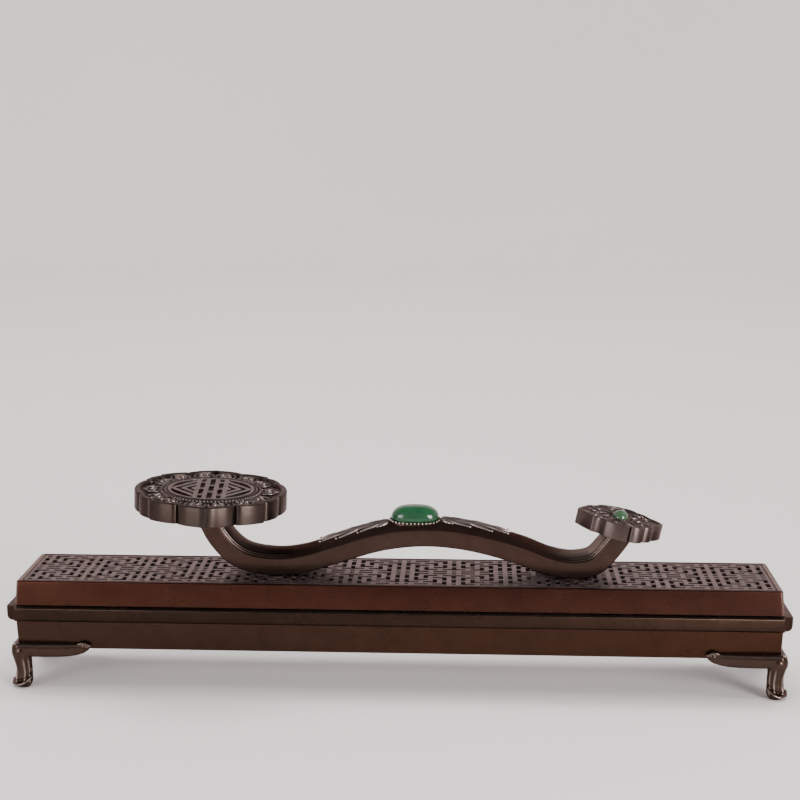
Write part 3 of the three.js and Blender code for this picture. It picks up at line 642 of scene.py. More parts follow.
class BURNER_OT_feet(bpy.types.Operator):
    """Make the four cast feet with their fluted shins, turned-up toes and wings."""

    bl_idname = "burner.feet"
    bl_label = "Feet"

    inset = 2.2
    wing_top = 15.3
    # Height, half breadth and lean of the leg outwards
    levels = [
        (0, 1.9, 0.4), (0.2, 2.4, 0.5), (0.5, 2.8, 0.6), (1.0, 3.2, 0.65), (1.5, 3.35, 0.6), (2.0, 3.35, 0.5),
        (2.6, 3.2, 0.4), (3.5, 3.05, 0.3), (4.6, 2.95, 0.22), (5.8, 2.9, 0.2), (6.9, 2.92, 0.25), (8, 3.0, 0.35),
        (9.2, 3.2, 0.5), (10.3, 3.4, 0.62), (11.5, 3.55, 0.75), (12.6, 3.5, 0.8), (13.6, 3.3, 0.75),
        (14.5, 2.8, 0.55), (15.1, 2.1, 0.25), (15.3, 1.5, 0),
    ]
    # Where the ribs of the shin are, in degrees from the diagonal outwards
    ribs = (-88, -57, 0, 57, 88)
    # Distance from the corner, underside and bulge of the wing
    stations = [
        (0, 10.7, 1.8), (8, 10.7, 1.75), (14, 10.75, 1.6), (17.2, 10.9, 1.4), (20.1, 11.4, 1.15),
        (22.4, 12.1, 0.9), (23.9, 13.1, 0.7), (24.9, 14.5, 0.45),
    ]

    def execute(self, context):
        cell = context.scene.burner_sizes.foot_grain
        made = self.cast_foot(cell)
        for name, sign_x, sign_y in (
            ("front_left", -1, -1), ("front_right", 1, -1), ("back_left", -1, 1), ("back_right", 1, 1),
        ):
            mesh = made.copy()
            mesh.transform(Matrix.Diagonal((sign_x, sign_y, 1, 1)))
            if sign_x * sign_y < 0:
                mesh.flip_normals()
            foot = link(name + "_scroll_foot", mesh)
            place(foot, "base", finish_for("foot_bronze"), "tray_bronze", name + "_foot")
        bpy.data.meshes.remove(made)
        return {"FINISHED"}

    def breadth(self, z):
        """Half breadth and lean of the leg at a height."""
        for (low, half_low, lean_low), (high, half_high, lean_high) in zip(self.levels, self.levels[1:]):
            if z <= high:
                t = (z - low) / (high - low)
                return half_low + t * (half_high - half_low), lean_low + t * (lean_high - lean_low)
        return self.levels[-1][1:]

    def middle(self, lean):
        """The leg's middle, over which it leans outwards along the diagonal."""
        return Vector((BODY_HALF_X - self.inset + lean, BODY_HALF_Y - self.inset + lean))

    def leg(self):
        """The plain leg, flatter inside."""
        rings = []
        for z, half, lean in self.levels:
            middle = self.middle(lean)
            ring = []
            for step in range(40):
                turn = 2 * math.pi * step / 40
                radius = half * (1 - 0.18 * max(0, -math.cos(turn)))
                angle = turn + math.pi / 4
                ring.append(Vector((middle.x + radius * math.cos(angle), middle.y + radius * math.sin(angle), z)))
            rings.append(ring)
        return loft(rings)

    def carved(self, point):
        """A point of the plain foot, moved for the ribs, the flutes and the toe's lip, and its wear and painted glints
        there.
        """
        z = max(0, point.z)
        _, lean = self.breadth(z)
        arm = point.xy - self.middle(lean)
        turn = (math.degrees(math.atan2(arm.y, arm.x)) + 135) % 360 - 180
        outside = 1 - sloped(abs(turn), 100, 125)
        if z > 11.2 or outside == 0 or arm.length < 0.6:
            # Painted highlight along the tops of the wings and the knee
            return point, 0.16 * sloped(z, self.wing_top - 1.1, self.wing_top - 0.3)
        ripple = sum(math.exp(-((turn - rib) / 13) ** 2) for rib in self.ribs)
        depth = sloped(-z, -11.2, -8.2) * (0.62 + 0.2 * sloped(-z, -4.6, -2.4)) * sloped(z, 1.4, 2.3)
        lip = 1.15 + 3.0 * (abs(turn) / 100) ** 2.2
        rise = 0.62 * math.exp(-((z - lip) / 0.42) ** 2) - 0.5 * math.exp(-((z - lip - 1.0) / 0.5) ** 2)
        moved = arm.normalized() * outside * (depth * (ripple - 0.55) + rise)
        # Worn crests of the ribs and the toe's lip, lightened further as painted glints
        crest_glint = 0.7 * depth * sloped(ripple, 0.75, 1.0) + 0.5 * math.exp(-((z - lip) / 0.28) ** 2)
        return point + Vector((moved.x, moved.y, 0)), outside * min(0.5, crest_glint)

    def wing(self, full, along_x):
        """A wing along the tray's edge, convex and drawn to a blunt tip."""
        scale = full / self.stations[-1][0]
        rings = []
        for distance, foot, out in self.stations:
            middle = (self.wing_top + foot) / 2
            half = (self.wing_top - foot) / 2
            section = [(-0.6, middle + half * 0.95), (-0.6, middle - half * 0.95)]
            for step in range(13):
                turn = math.radians(-90 + 15 * step)
                section.append((out * math.cos(turn) ** 0.5 if step % 12 else 0.0, middle + half * math.sin(turn)))
            along = distance * scale
            if along_x:
                rings.append([Vector((BODY_HALF_X - along, BODY_HALF_Y + r, z)) for r, z in section])
            else:
                rings.append([Vector((BODY_HALF_X + r, BODY_HALF_Y - along, z)) for r, z in section])
        return loft(rings)

    def curl(self, full, along_x):
        """The small hook and eye at the wing's tip."""
        def at(distance, reach, z):
            if along_x:
                return Vector((BODY_HALF_X - distance, BODY_HALF_Y + reach, z))
            return Vector((BODY_HALF_X + reach, BODY_HALF_Y - distance, z))
        path = [
            at(full - 4.4, 0.5, 15.3), at(full - 3.2, 0.55, 15.65), at(full - 1.7, 0.5, 15.5),
            at(full - 0.3, 0.5, 14.75), at(full - 1.1, 0.7, 13.95), at(full - 2.0, 0.9, 13.6),
        ]
        lines = tube(path, [0.2, 0.34, 0.36, 0.38, 0.3, 0.2], sides=8, up=Vector((1, 1, 0)).normalized())
        return joined([lines, bead(at(full - 2.3, 0.95, 14.4), 0.45)])

    def seat(self):
        """The plate under the tray's floor that the screw goes through."""
        top = TRAY_FOOT - 0.3
        outline = [(-0.5, -0.5), (-15, -0.5), (-11, -12), (-0.5, -12)]
        rings = [
            [Vector((BODY_HALF_X + x, BODY_HALF_Y + y, z)) for x, y in round_corners(outline, 1, 3)]
            for z in (top - 1.7, top)
        ]
        return loft(rings)

    def cast_foot(self, cell):
        """The foot at +X +Y, its parts run together as in one casting, then carved."""
        parts = [self.leg(), self.seat()]
        for full, along_x in ((24.9, True), (12.6, False)):
            parts += [self.wing(full, along_x), self.curl(full, along_x)]
        piece = link("foot_mould", make_mesh("foot_mould", joined(parts)))
        melt = piece.modifiers.new("Melt", "REMESH")
        melt.mode = "VOXEL"
        melt.voxel_size = cell
        smooth = piece.modifiers.new("Smooth", "SMOOTH")
        smooth.factor = 0.5
        smooth.iterations = 5
        settled(piece)
        mesh = piece.data
        bpy.data.objects.remove(piece)
        wear_and_painted_light = []
        for vertex in mesh.vertices:
            place_now, glint_and_wear = self.carved(vertex.co / MM)
            vertex.co = place_now * MM
            wear_and_painted_light.append(glint_and_wear)
            if vertex.co.z < 0.2 * MM:
                vertex.co.z = 0
        mesh.attributes.new("wear_and_painted_light", "FLOAT", "POINT").data.foreach_set("value", wear_and_painted_light)
        mesh.shade_smooth()
        return mesh


class BURNER_OT_lid(bpy.types.Operator):
    """Make the lid's frame, with the border and the ledge that carry the fret."""

    bl_idname = "burner.lid"
    bl_label = "Lid frame"

    flare = 0.6
    border = 1.7
    ledge = 1.25
    corner = 1.1
    panel = 1.4
    # Painted reflection on the tops of the ends and painted highlights down the upright corners
    end_painted_reflection = 0.6
    corner_painted_highlight = 0.3

    def execute(self, context):
        arris = context.scene.burner_sizes.arris / MM
        half_x = LID_HIGH.x - self.flare
        half_y = LID_HIGH.y - self.flare
        ledge_top = LID_TOP - self.panel - 0.3
        foot = LID_LOW.z
        inner = self.border + self.ledge
        # The second corner keeps the lid's foot crisp
        outline = [
            (-self.flare, foot), (-0.95 * self.flare, foot + 0.3), (0, LID_TOP), (self.border, LID_TOP),
            (self.border, ledge_top),
            (inner, ledge_top), (inner, ledge_top - 1.1), (self.border, ledge_top - 1.1), (1.0, foot + 3),
            (1.0, foot),
        ]
        rings = []
        wear_and_painted_light = []
        for inset, z in round_corners(outline, arris, 4):
            corner = max(0.4, self.corner - 0.4 * max(0, inset))
            ring = rounded_rectangle(half_x - inset, half_y - inset, corner, z)
            rings.append(ring)
            # Painted reflection on the end tops and painted highlights down the corners
            wear_and_painted_light += [self.wear(i, inset, z) for i in range(len(ring))]
        make_piece("lid_cover", loft(rings, looped=True), "lid", finish_for("lid_bronze"), "lid_bronze",
                   "lid_frame", sharp=50, wear_and_painted_light=wear_and_painted_light)
        return {"FINISHED"}

    def wear(self, i, inset, z):
        """The painted light at a point of a ring: painted reflection on the tops of the ends, and painted highlights
        down the upright corners.
        """
        turn = math.radians(90 * (i // 7) + 15 * (i % 7))
        if z > LID_TOP - 0.25 and inset > -0.1:
            return self.end_painted_reflection * sloped(abs(math.cos(turn)), 0.6, 0.95)
        outside = 1 if inset < 0.1 else 0
        return self.corner_painted_highlight * outside * sloped(abs(math.sin(2 * turn)), 0.6, 1.0)


class BURNER_OT_fret(bpy.types.Operator):
    """Make the pierced fret panel, with softened edges on every bar."""

    bl_idname = "burner.fret"
    bl_label = "Fret panel"

    def execute(self, context):
        xs, ys = self.lines()
        solid = self.solid_cells(xs, ys)
        piece = link("fret_lattice", make_mesh("fret_lattice", self.plate(xs, ys, solid)))
        bevelled(piece, context.scene.burner_sizes.fret_arris)
        place(piece, "lid", finish_for("fret_bronze"), "fret_bronze", "fret_panel")
        return {"FINISHED"}

    def lines(self):
        """The lines that bound the cells across and along the panel."""
        made = []
        for low, high, count, bar in (
            (FRET_LOW.x, FRET_HIGH.x, FRET_COLUMNS, FRET_BAR_X), (FRET_LOW.y, FRET_HIGH.y, FRET_ROWS, FRET_BAR_Y),
        ):
            pitch = (high - low - 2 * FRET_EDGE + bar) / count
            edges = [low]
            for i in range(count):
                start = low + FRET_EDGE + i * pitch
                edges += [start, start + pitch - bar]
            made.append(edges + [high])
        return made

    def solid_cells(self, xs, ys):
        """True for each square of the grid that is metal. Odd squares are cells, even ones are bars."""
        solid = [[not (i % 2 and j % 2) for j in range(len(ys) - 1)] for i in range(len(xs) - 1)]
        for column, kind in enumerate(FRET_KINDS):
            for row in range(FRET_ROWS):
                depth = min(row, FRET_ROWS - 1 - row)
                if depth in OPENS_INWARD[kind]:
                    inward = 1 if row < FRET_ROWS / 2 else -1
                    solid[2 * column + 1][2 * row + 1 + inward] = False
                pair = "".join(sorted(FRET_KINDS[column:column + 2]))
                if pair in OPENS_SIDEWAYS[depth]:
                    solid[2 * column + 2][2 * row + 1] = False
        for i in range(len(xs) - 1):
            for j in range(len(ys) - 1):
                x = (xs[i] + xs[i + 1]) / 2
                y = (ys[j] + ys[j + 1]) / 2
                if abs(y) < 3.4 and any(abs(x - fixing) < 4.6 for fixing in FIXINGS):
                    solid[i][j] = True
        return solid

    def plate(self, xs, ys, solid):
        """The plate's faces: top and underside of each metal square, and a wall to each open one."""
        wide, deep = len(xs), len(ys)
        points = [Vector((x, y, z)) for z in (FRET_LOW.z, FRET_HIGH.z) for x in xs for y in ys]
        faces = []

        def corner(i, j, level):
            return level * wide * deep + i * deep + j

        def metal(i, j):
            return 0 <= i < wide - 1 and 0 <= j < deep - 1 and solid[i][j]

        for i in range(wide - 1):
            for j in range(deep - 1):
                if not solid[i][j]:
                    continue
                around = [(i, j), (i + 1, j), (i + 1, j + 1), (i, j + 1)]
                faces.append([corner(*at, 1) for at in around])
                faces.append([corner(*at, 0) for at in reversed(around)])
                for k, (di, dj) in enumerate(((0, -1), (1, 0), (0, 1), (-1, 0))):
                    if not metal(i + di, j + dj):
                        a, b = around[k], around[(k + 1) % 4]
                        faces.append([corner(*a, 0), corner(*b, 0), corner(*b, 1), corner(*a, 1)])
        used = sorted({i for face in faces for i in face})
        renumber = {old: new for new, old in enumerate(used)}
        return [points[i] for i in used], [[renumber[i] for i in face] for face in faces]


def bar_knots():
    """The places along the sceptre's line where it passes its points, by the root of each gap."""
    knots = [0.0]
    for (x0, z0), (x1, z1) in zip(BAR_LINE, BAR_LINE[1:]):
        knots.append(knots[-1] + math.hypot(x1 - x0, z1 - z0) ** 0.5)
    return knots


def bar_samples(fine=12):
    """Points along the sceptre's middle line, evenly fine between its given points."""
    knots = bar_knots()
    line = [Vector((x, 0, LID_TOP + z)) for x, z in BAR_LINE]
    line = [2 * line[0] - line[1], *line, 2 * line[-1] - line[-2]]
    knots = [2 * knots[0] - knots[1], *knots, 2 * knots[-1] - knots[-2]]
    made = []
    for i in range(1, len(line) - 2):
        steps = fine + (1 if i == len(line) - 3 else 0)
        for step in range(steps):
            t = knots[i] + (knots[i + 1] - knots[i]) * step / fine
            made.append(catmull(line[i - 1:i + 3], knots[i - 1:i + 3], t))
    return made


def catmull(points, knots, t):
    """A point of the curve through the middle two of four points, at the knot value t."""
    level = list(points)
    for width in (1, 2, 3):
        for i in range(4 - width):
            low, high = (i, i + width) if width < 3 else (1, 2)
            if width == 2:
                low, high = i, i + 2
            share = (t - knots[low]) / (knots[high] - knots[low])
            level[i] = level[i].lerp(level[i + 1], share)
    return level[0]


class BarLine:
    """The sceptre's middle line, with its direction and its upward side at any place."""

    def __init__(self):
        self.points = bar_samples()
        self.lengths = [0.0]
        for a, b in zip(self.points, self.points[1:]):
            self.lengths.append(self.lengths[-1] + (b - a).length)

    def at(self, share):
        """Point, direction along and direction up at a share of the length."""
        goal = share * self.lengths[-1]
        i = 0
        while i < len(self.points) - 2 and self.lengths[i + 1] < goal:
            i += 1
        t = (goal - self.lengths[i]) / (self.lengths[i + 1] - self.lengths[i])
        point = self.points[i].lerp(self.points[i + 1], t)
        before = self.points[max(i - 1, 0)]
        after = self.points[min(i + 2, len(self.points) - 1)]
        along = (after - before).normalized()
        return point, along, Vector((-along.z, 0, along.x))

    def share_at(self, x):
        """The share of the length at which the line reaches x."""
        low, high = 0.0, 1.0
        for _ in range(24):
            middle = (low + high) / 2
            if self.at(middle)[0].x < x:
                low = middle
            else:
                high = middle
        return low


BAR = BarLine()


def crown_height(y):
    """Height of the sceptre's rounded top above its middle line, across its width."""
    share = min(1.0, abs(y) / BAR_HALF_WIDTH)
    return BAR_ARRIS + (BAR_CROWN - BAR_ARRIS) * (1 - share ** 2.2)


class BURNER_OT_sceptre(bpy.types.Operator):
    """Make the sceptre's bar, with the fine twin ridges along its shoulders."""

    bl_idname = "burner.sceptre"
    bl_label = "Sceptre bar"

    steps = 220
    # How far in from the side each line runs, and how wide it is
    lines = (0.68, 1.4)
    line_half = 0.14

    def execute(self, context):
        height = context.scene.burner_sizes.ridge / MM
        rings = []
        for step in range(self.steps + 1):
            share = step / self.steps
            middle, _, up = BAR.at(share)
            ridge = height * self.strength(middle.x)
            ring = []
            for y, rise in self.section(ridge):
                point = middle + up * rise + Vector((0, y, 0))
                point.z = max(point.z, LID_TOP + 0.06)
                ring.append(point)
            rings.append(ring)
        rings = self.trimmed(rings)
        flat = self.section(0)
        raised = self.section(1)
        wear_and_painted_light = []
        for ring in rings:
            x = ring[0].x
            # Painted reflection: the crown is lightened at both bends for the grey sheen there
            bend_sheen = max(0.22 * sloped(-x, 37, 50), 0.36 * sloped(x, 48, 62))
            for (y, low), (_, high) in zip(flat, raised):
                on_crown = (1 - sloped(abs(y), 4.0, 5.2)) * (1 if low > BAR_ARRIS else 0)
                # Painted highlight along the tops of the twin ridges, and the painted reflection on the crown at the
                # bends
                wear_and_painted_light.append(max(0.5 * (high - low) * self.strength(x), bend_sheen * on_crown))
        make_piece("sceptre_bar", loft(rings), "lid", finish_for("sceptre_bronze"), "sceptre_bronze",
                   "ruyi_bar", sharp=60, wear_and_painted_light=wear_and_painted_light)
        return {"FINISHED"}

    def strength(self, x):
        """The ridges are full at both bends and die out towards the stone."""
        return max(sloped(-x, 28, 50), sloped(x, 52, 66))

    def section(self, ridge):
        """Half of the section from the crown down to the underside, and its mirror image."""
        half = [(0.0, crown_height(0))]
        edge = BAR_HALF_WIDTH - 0.35
        y = 0.8
        stops = [0.8, 1.6, 2.4, 3.2, 4.0, 4.6]
        half += [(y, crown_height(y)) for y in stops]
        for inset in self.lines[::-1]:
            middle = BAR_HALF_WIDTH - inset
            for offset, share in ((-1.0, 0), (-0.5, 0.75), (0, 1), (0.5, 0.75), (1.0, 0)):
                y = middle + offset * self.line_half
                half.append((y, crown_height(y) + ridge * share))
        half.append((edge, crown_height(edge) - 0.02))
        for turn in (25, 50, 75, 90):
            angle = math.radians(turn)
            half.append((edge + 0.35 * math.sin(angle), crown_height(edge) - 0.4 * (1 - math.cos(angle))))
        half.append((BAR_HALF_WIDTH, 1.2))
        half.append((BAR_HALF_WIDTH, 0.5 - BAR_BELOW))
        for turn in (20, 40, 60, 80, 90):
            angle = math.radians(turn)
            half.append((BAR_HALF_WIDTH - 0.5 * (1 - math.cos(angle)), 0.5 - BAR_BELOW - 0.5 * math.sin(angle)))
        half.append((BAR_HALF_WIDTH * 0.5, -BAR_BELOW))
        bottom = [(0.0, -BAR_BELOW)]
        return half + bottom + [(-y, height) for y, height in half[:0:-1]]

    def trimmed(self, rings):
        """Leaves off what would stand out above the undersides of the heads."""
        def inside(ring, head):
            across = math.tan(math.radians(head["tilt"]))
            limit = LID_TOP + head["top"] - head["thick"] + 2.5
            return all(point.z < limit - across * (point.x - head["x"]) for point in ring)
        return [
            ring for ring in rings
            if (ring[0].x > 0 or inside(ring, HEAD)) and (ring[0].x < 0 or inside(ring, TAIL))
        ]


def arc(a, b, bulge, steps):
    """Points from a up to b on a shallow arc that bulges to the right of the way."""
    outward = Vector((b.y - a.y, a.x - b.x)).normalized()
    made = []
    for step in range(steps):
        t = step / steps
        made.append(a.lerp(b, t) + outward * bulge * 4 * t * (1 - t))
    return made


def tail_outline(inset):
    """The outline of the small head as flat points about its middle, drawn in by inset."""
    front = []
    for (x, depth, bulge, steps), (next_x, next_depth, *_) in zip(TAIL_FRONT, TAIL_FRONT[1:]):
        front += arc(Vector((x, -depth)), Vector((next_x, -next_depth)), bulge, steps)
    end = Vector((TAIL_FRONT[-1][0], 0))
    outline = [*front, end, *(Vector((p.x, -p.y)) for p in front[:0:-1])]
    return [p * (1 - inset / p.length) for p in outline]


def head_outline(head, inset):
    """The lobed outline of a head as flat points about its middle, drawn in by inset."""
    if head is TAIL:
        return tail_outline(inset)

    def corner(angle, share):
        turn = math.radians(angle - 90)
        return Vector((math.cos(turn), math.sin(turn))) * share * head["reach"]
    quarter = []
    for (angle, share, bulge, steps), (next_angle, next_share, *_) in zip(HEAD_QUARTER, HEAD_QUARTER[1:]):
        quarter += arc(corner(angle, share), corner(next_angle, next_share), bulge * head["reach"], steps)
    end = corner(*HEAD_QUARTER[-1][:2])
    right = [*quarter, end, *(Vector((p.x, -p.y)) for p in quarter[:0:-1])]
    outline = []
    for p in right + [-p for p in right]:
        drawn = p * (1 - inset / p.length)
        beyond = max(0, drawn.y - BACK_BLUNT)
        outline.append(Vector((drawn.x * head["width"], drawn.y - 0.65 * beyond)))
    return outline


def head_place(head, points):
    """Points about the middle of a head's top face, put in their place on the burner."""
    spin = Matrix.Rotation(math.radians(head["tilt"]), 4, "Y") @ Matrix.Rotation(math.radians(head["turn"]), 4, "Z")
    spot = Vector((head["x"], 0, LID_TOP + head["top"]))
    return [spot + spin @ Vector(point) for point in points]


def in_head(head, shape):
    """A shape about the middle of a head's top face, put in its place."""
    return head_place(head, shape[0]), shape[1]


def lobed_ring(head, inset, z):
    return [Vector((p.x, p.y, z)) for p in head_outline(head, inset)]


def round_ring(head, radius, z):
    """A circle with its points at the angles of the outline's points."""
    return [Vector((p.x, p.y, 0)).normalized() * radius + Vector((0, 0, z)) for p in head_outline(head, 0)]


def spiral(middle, start, size, turns, side, line, z, steps=22):
    """A raised line that curls in to its eye."""
    path, radii = [], []
    for step in range(steps + 1):
        t = step / steps
        turn = start + side * turns * 2 * math.pi * t
        reach = size * (1 - 0.74 * t)
        path.append(Vector((middle[0] + reach * math.cos(turn), middle[1] + reach * math.sin(turn), z)))
        radii.append(line * (0.55 + 0.45 * math.sin(math.pi * min(1, t * 1.4))))
    return tube(path, radii, sides=8)


def leaf_stroke(start, end, bend_sheen, line, z, steps=8):
    """A short tapered line, bent to one side."""
    start, end = Vector(start), Vector(end)
    side = Vector((end.y - start.y, start.x - end.x)) * bend_sheen
    path, radii = [], []
    for step in range(steps + 1):
        t = step / steps
        p = start.lerp(end, t) + side * 4 * t * (1 - t)
        path.append(Vector((p.x, p.y, z)))
        radii.append(line * (0.25 + 0.75 * math.sin(math.pi * (0.15 + 0.8 * t))))
    return tube(path, radii, sides=8)


def polar(radius, degrees):
    """A flat point at an angle counted from the front point."""
    turn = math.radians(degrees - 90)
    return Vector((radius * math.cos(turn), radius * math.sin(turn)))


class BURNER_OT_head(bpy.types.Operator):
    """Make the sceptre's large head, with its lobed rim, scrolls, pearls and beading."""

    bl_idname = "burner.head"
    bl_label = "Large head"

    field = -0.95
    bead_circle = 16.45
    beads = 86
    # Where the scrolls' eyes are, and half the angle between the two of a pair
    eye_circle = 20.8
    spread = 3.2

    def execute(self, context):
        sizes = context.scene.burner_sizes
        body = in_head(HEAD, self.body())
        make_piece("sceptre_head", body, "lid", finish_for("head_bronze"), "head_bronze", "ruyi_head", sharp=50)
        relief = in_head(HEAD, self.relief(sizes.scroll / MM))
        make_piece("head_relief", relief, "lid", finish_for("relief_lit_bronze"), "head_bronze")
        pearls = in_head(HEAD, self.pearls(sizes.pearl / MM))
        make_piece("head_pearls", pearls, "lid", finish_for("pearl_bronze"), "head_bronze")
        return {"FINISHED"}

    def body(self):
        """The plate, from its underside up the scalloped side, over the lip and into the pocket."""
        thick = HEAD["thick"]
        rings = [lobed_ring(HEAD, inset, z) for inset, z in (
            (1.2, -thick), (0.35, -thick), (0.08, -thick + 0.12), (0, -thick + 0.4), (0, -0.45), (0.06, -0.2),
            (0.2, -0.04), (0.45, 0), (1.8, 0), (2.05, -0.06), (2.2, -0.25), (2.35, self.field + 0.1),
            (2.6, self.field),
        )]
        rings += [round_ring(HEAD, radius, z) for radius, z in (
            (17.5, self.field), (17.25, -0.8), (17.1, -0.62), (15.85, -0.62), (15.72, -0.2), (15.55, -0.05),
            (15.3, 0), (14.95, 0), (14.8, -0.08), (14.72, -0.25), (14.7, -0.6), (14.3, -0.7),
        )]
        return loft(rings)

    def every_lobe(self):
        """The angle of each lobe's middle in its quarter, and the signs of X and Y there."""
        for flip_y in (1, -1):
            for flip_x in (1, -1):
                for lobe in LOBES:
                    if lobe < 90 or flip_y == 1:
                        yield lobe, flip_x, flip_y

    def pearls(self, pearl):
        """The pearls in the eyes of the scrolls."""
        shapes = []
        for lobe, flip_x, flip_y in self.every_lobe():
            for side in (-1, 1):
                eye = polar(self.eye_circle, lobe + side * self.spread)
                middle = (flip_x * eye.x * HEAD_ROUND, flip_y * eye.y, self.field + 0.5)
                shapes.append(bead(middle, pearl, sides=14, rows=8))
        return joined(shapes)

    def relief(self, line):
        """Scrolls in pairs in every lobe, and the ring of beads."""
        shapes = [self.lobe(line, *where) for where in self.every_lobe()]
        for i in range(self.beads):
            spot = polar(self.bead_circle, 360 * i / self.beads)
            shapes.append(bead((spot.x, spot.y, -0.45), 0.5, sides=10, rows=5))
        return joined(shapes)

    def lobe(self, line, lobe, flip_x, flip_y):
        """The scrolls of one lobe, in any of the four quarters."""
        made = []
        z = self.field + line * 0.55
        for side in (-1, 1):
            angle = lobe + side * self.spread
            eye = polar(self.eye_circle, angle)
            made += [
                spiral(eye, math.radians(angle - 90), 1.9, 1.15, -side, line, z),
                leaf_stroke(polar(23.4, angle + side * 1.5), polar(18.3, angle + side * 6.2), side * 0.2, line, z),
                leaf_stroke(polar(22.6, lobe + side * 1.2), polar(24.3, lobe + side * 0.3), side * 0.1, line * 0.8, z),
                leaf_stroke(polar(18.2, lobe + side * 0.8), polar(18.3, lobe + side * 6.5), side * -0.3, line * 0.8, z),
            ]
        points, faces = joined(made)
        placed = []
        for p in points:
            x = p.x * (1 if p.xy.length < 17 else HEAD_ROUND)
            placed.append(Vector((flip_x * x, flip_y * p.y, min(p.z, -0.05))))
        return placed, faces


class BURNER_OT_medallion(bpy.types.Operator):
    """Finish the round medallion of the large head."""

    bl_idname = "burner.medallion"
    bl_label = "Medallion"

    def execute(self, context):
        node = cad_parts["head_medallion"]
        weld = node.modifiers.new("Weld", "WELD")
        weld.merge_threshold = 0.00001
        dissolve = node.modifiers.new("Flat faces", "DECIMATE")
        dissolve.decimate_type = "DISSOLVE"
        dissolve.angle_limit = math.radians(1)
        bevelled(node, 0.22 * MM, 2, 30)
        node.data.materials.clear()
        node.data.materials.append(finish_for("relief_lit_bronze"))
        return {"FINISHED"}


class BURNER_OT_tail(bpy.types.Operator):
    """Make the sceptre's small head, its leaves, the collar and the round stone."""

    bl_idname = "burner.tail"
    bl_label = "Small head"

    field = -0.65
    # How deep the collar and its stone are set into the plate
    sunk = 0.85

    def execute(self, context):
        sizes = context.scene.burner_sizes
        bronze_finish = finish_for("tail_lit_bronze")
        make_piece("sceptre_tail", in_head(TAIL, self.body()), "lid", bronze_finish, "head_bronze",
                   "ruyi_tail", sharp=50)
        relief = in_head(TAIL, self.relief(sizes.scroll / MM * 0.8))
        make_piece("tail_relief", relief, "lid", finish_for("relief_lit_bronze"), "head_bronze")
        make_piece("tail_collar", in_head(TAIL, self.collar()), "lid", bronze_finish, "head_bronze", "tail_bezel")
        dome = turned([
            (0, -1.3), (2.2, -1.3), (2.5, -1.0), (2.62, -0.3), (2.6, 0.4), (2.45, 1.1), (2.1, 1.75), (1.6, 2.25),
            (1.0, 2.58), (0.45, 2.75), (0, 2.8),
        ], 40, middle=(0, 0, -self.sunk))
        make_piece("tail_cabochon", in_head(TAIL, dome), "lid", finish_for("pale_green_stone"),
                   "pale_green_stone", "tail_stone")
        return {"FINISHED"}

    def body(self):
        """The plate with its lip and sunk field, and the seat of the collar."""
        thick = TAIL["thick"]
        rings = [lobed_ring(TAIL, inset, z) for inset, z in (
            (0.9, -thick), (0.3, -thick), (0.06, -thick + 0.1), (0, -thick + 0.3), (0, -0.35), (0.05, -0.15),
            (0.18, -0.03), (0.35, 0), (0.7, 0), (0.9, -0.06), (1.05, -0.25), (1.15, self.field + 0.08),
            (1.3, self.field),
        )]
        rings += [round_ring(TAIL, radius, z) for radius, z in ((3.9, self.field), (3.8, -2.5))]
        return loft(rings)

    def relief(self, line):
        """Curling leaves round the stone."""
        shapes = []
        z = self.field + line * 0.5
        for i in range(12):
            angle = 15 + 30 * i
            side = 1 if i % 2 else -1
            spot = polar(9.4, angle)
            shapes.append(spiral(spot, math.radians(angle - 90), 1.75, 1.05, side, line, z))
            shapes.append(bead((spot.x, spot.y, self.field + 0.2), 0.34, sides=10, rows=6))
            shapes.append(leaf_stroke(polar(10.0, angle + side * 4), polar(10.8, angle + side * 10), 0.2, line, z))
        for i in range(10):
            angle = 36 * i
            shapes.append(leaf_stroke(polar(4.3, angle), polar(7.0, angle + 6), 0.12, line * 1.5, z))
        return joined(shapes)

    def collar(self):
        """The ring that holds the stone, with a row of small claws."""
        ring = turned([
            (2.9, -1.5), (3.55, -1.5), (3.6, -0.2), (3.5, 0.1), (3.25, 0.25), (2.9, 0.15), (2.75, 0.0), (2.9, -1.5),
        ], 48, middle=(0, 0, -self.sunk))
        claws = []
        for i in range(16):
            spot = polar(3.0, 22.5 * i)
            claws.append(bead((spot.x, spot.y, 0.2 - self.sunk), 0.38, sides=8, rows=5))
        return joined([ring, *claws])


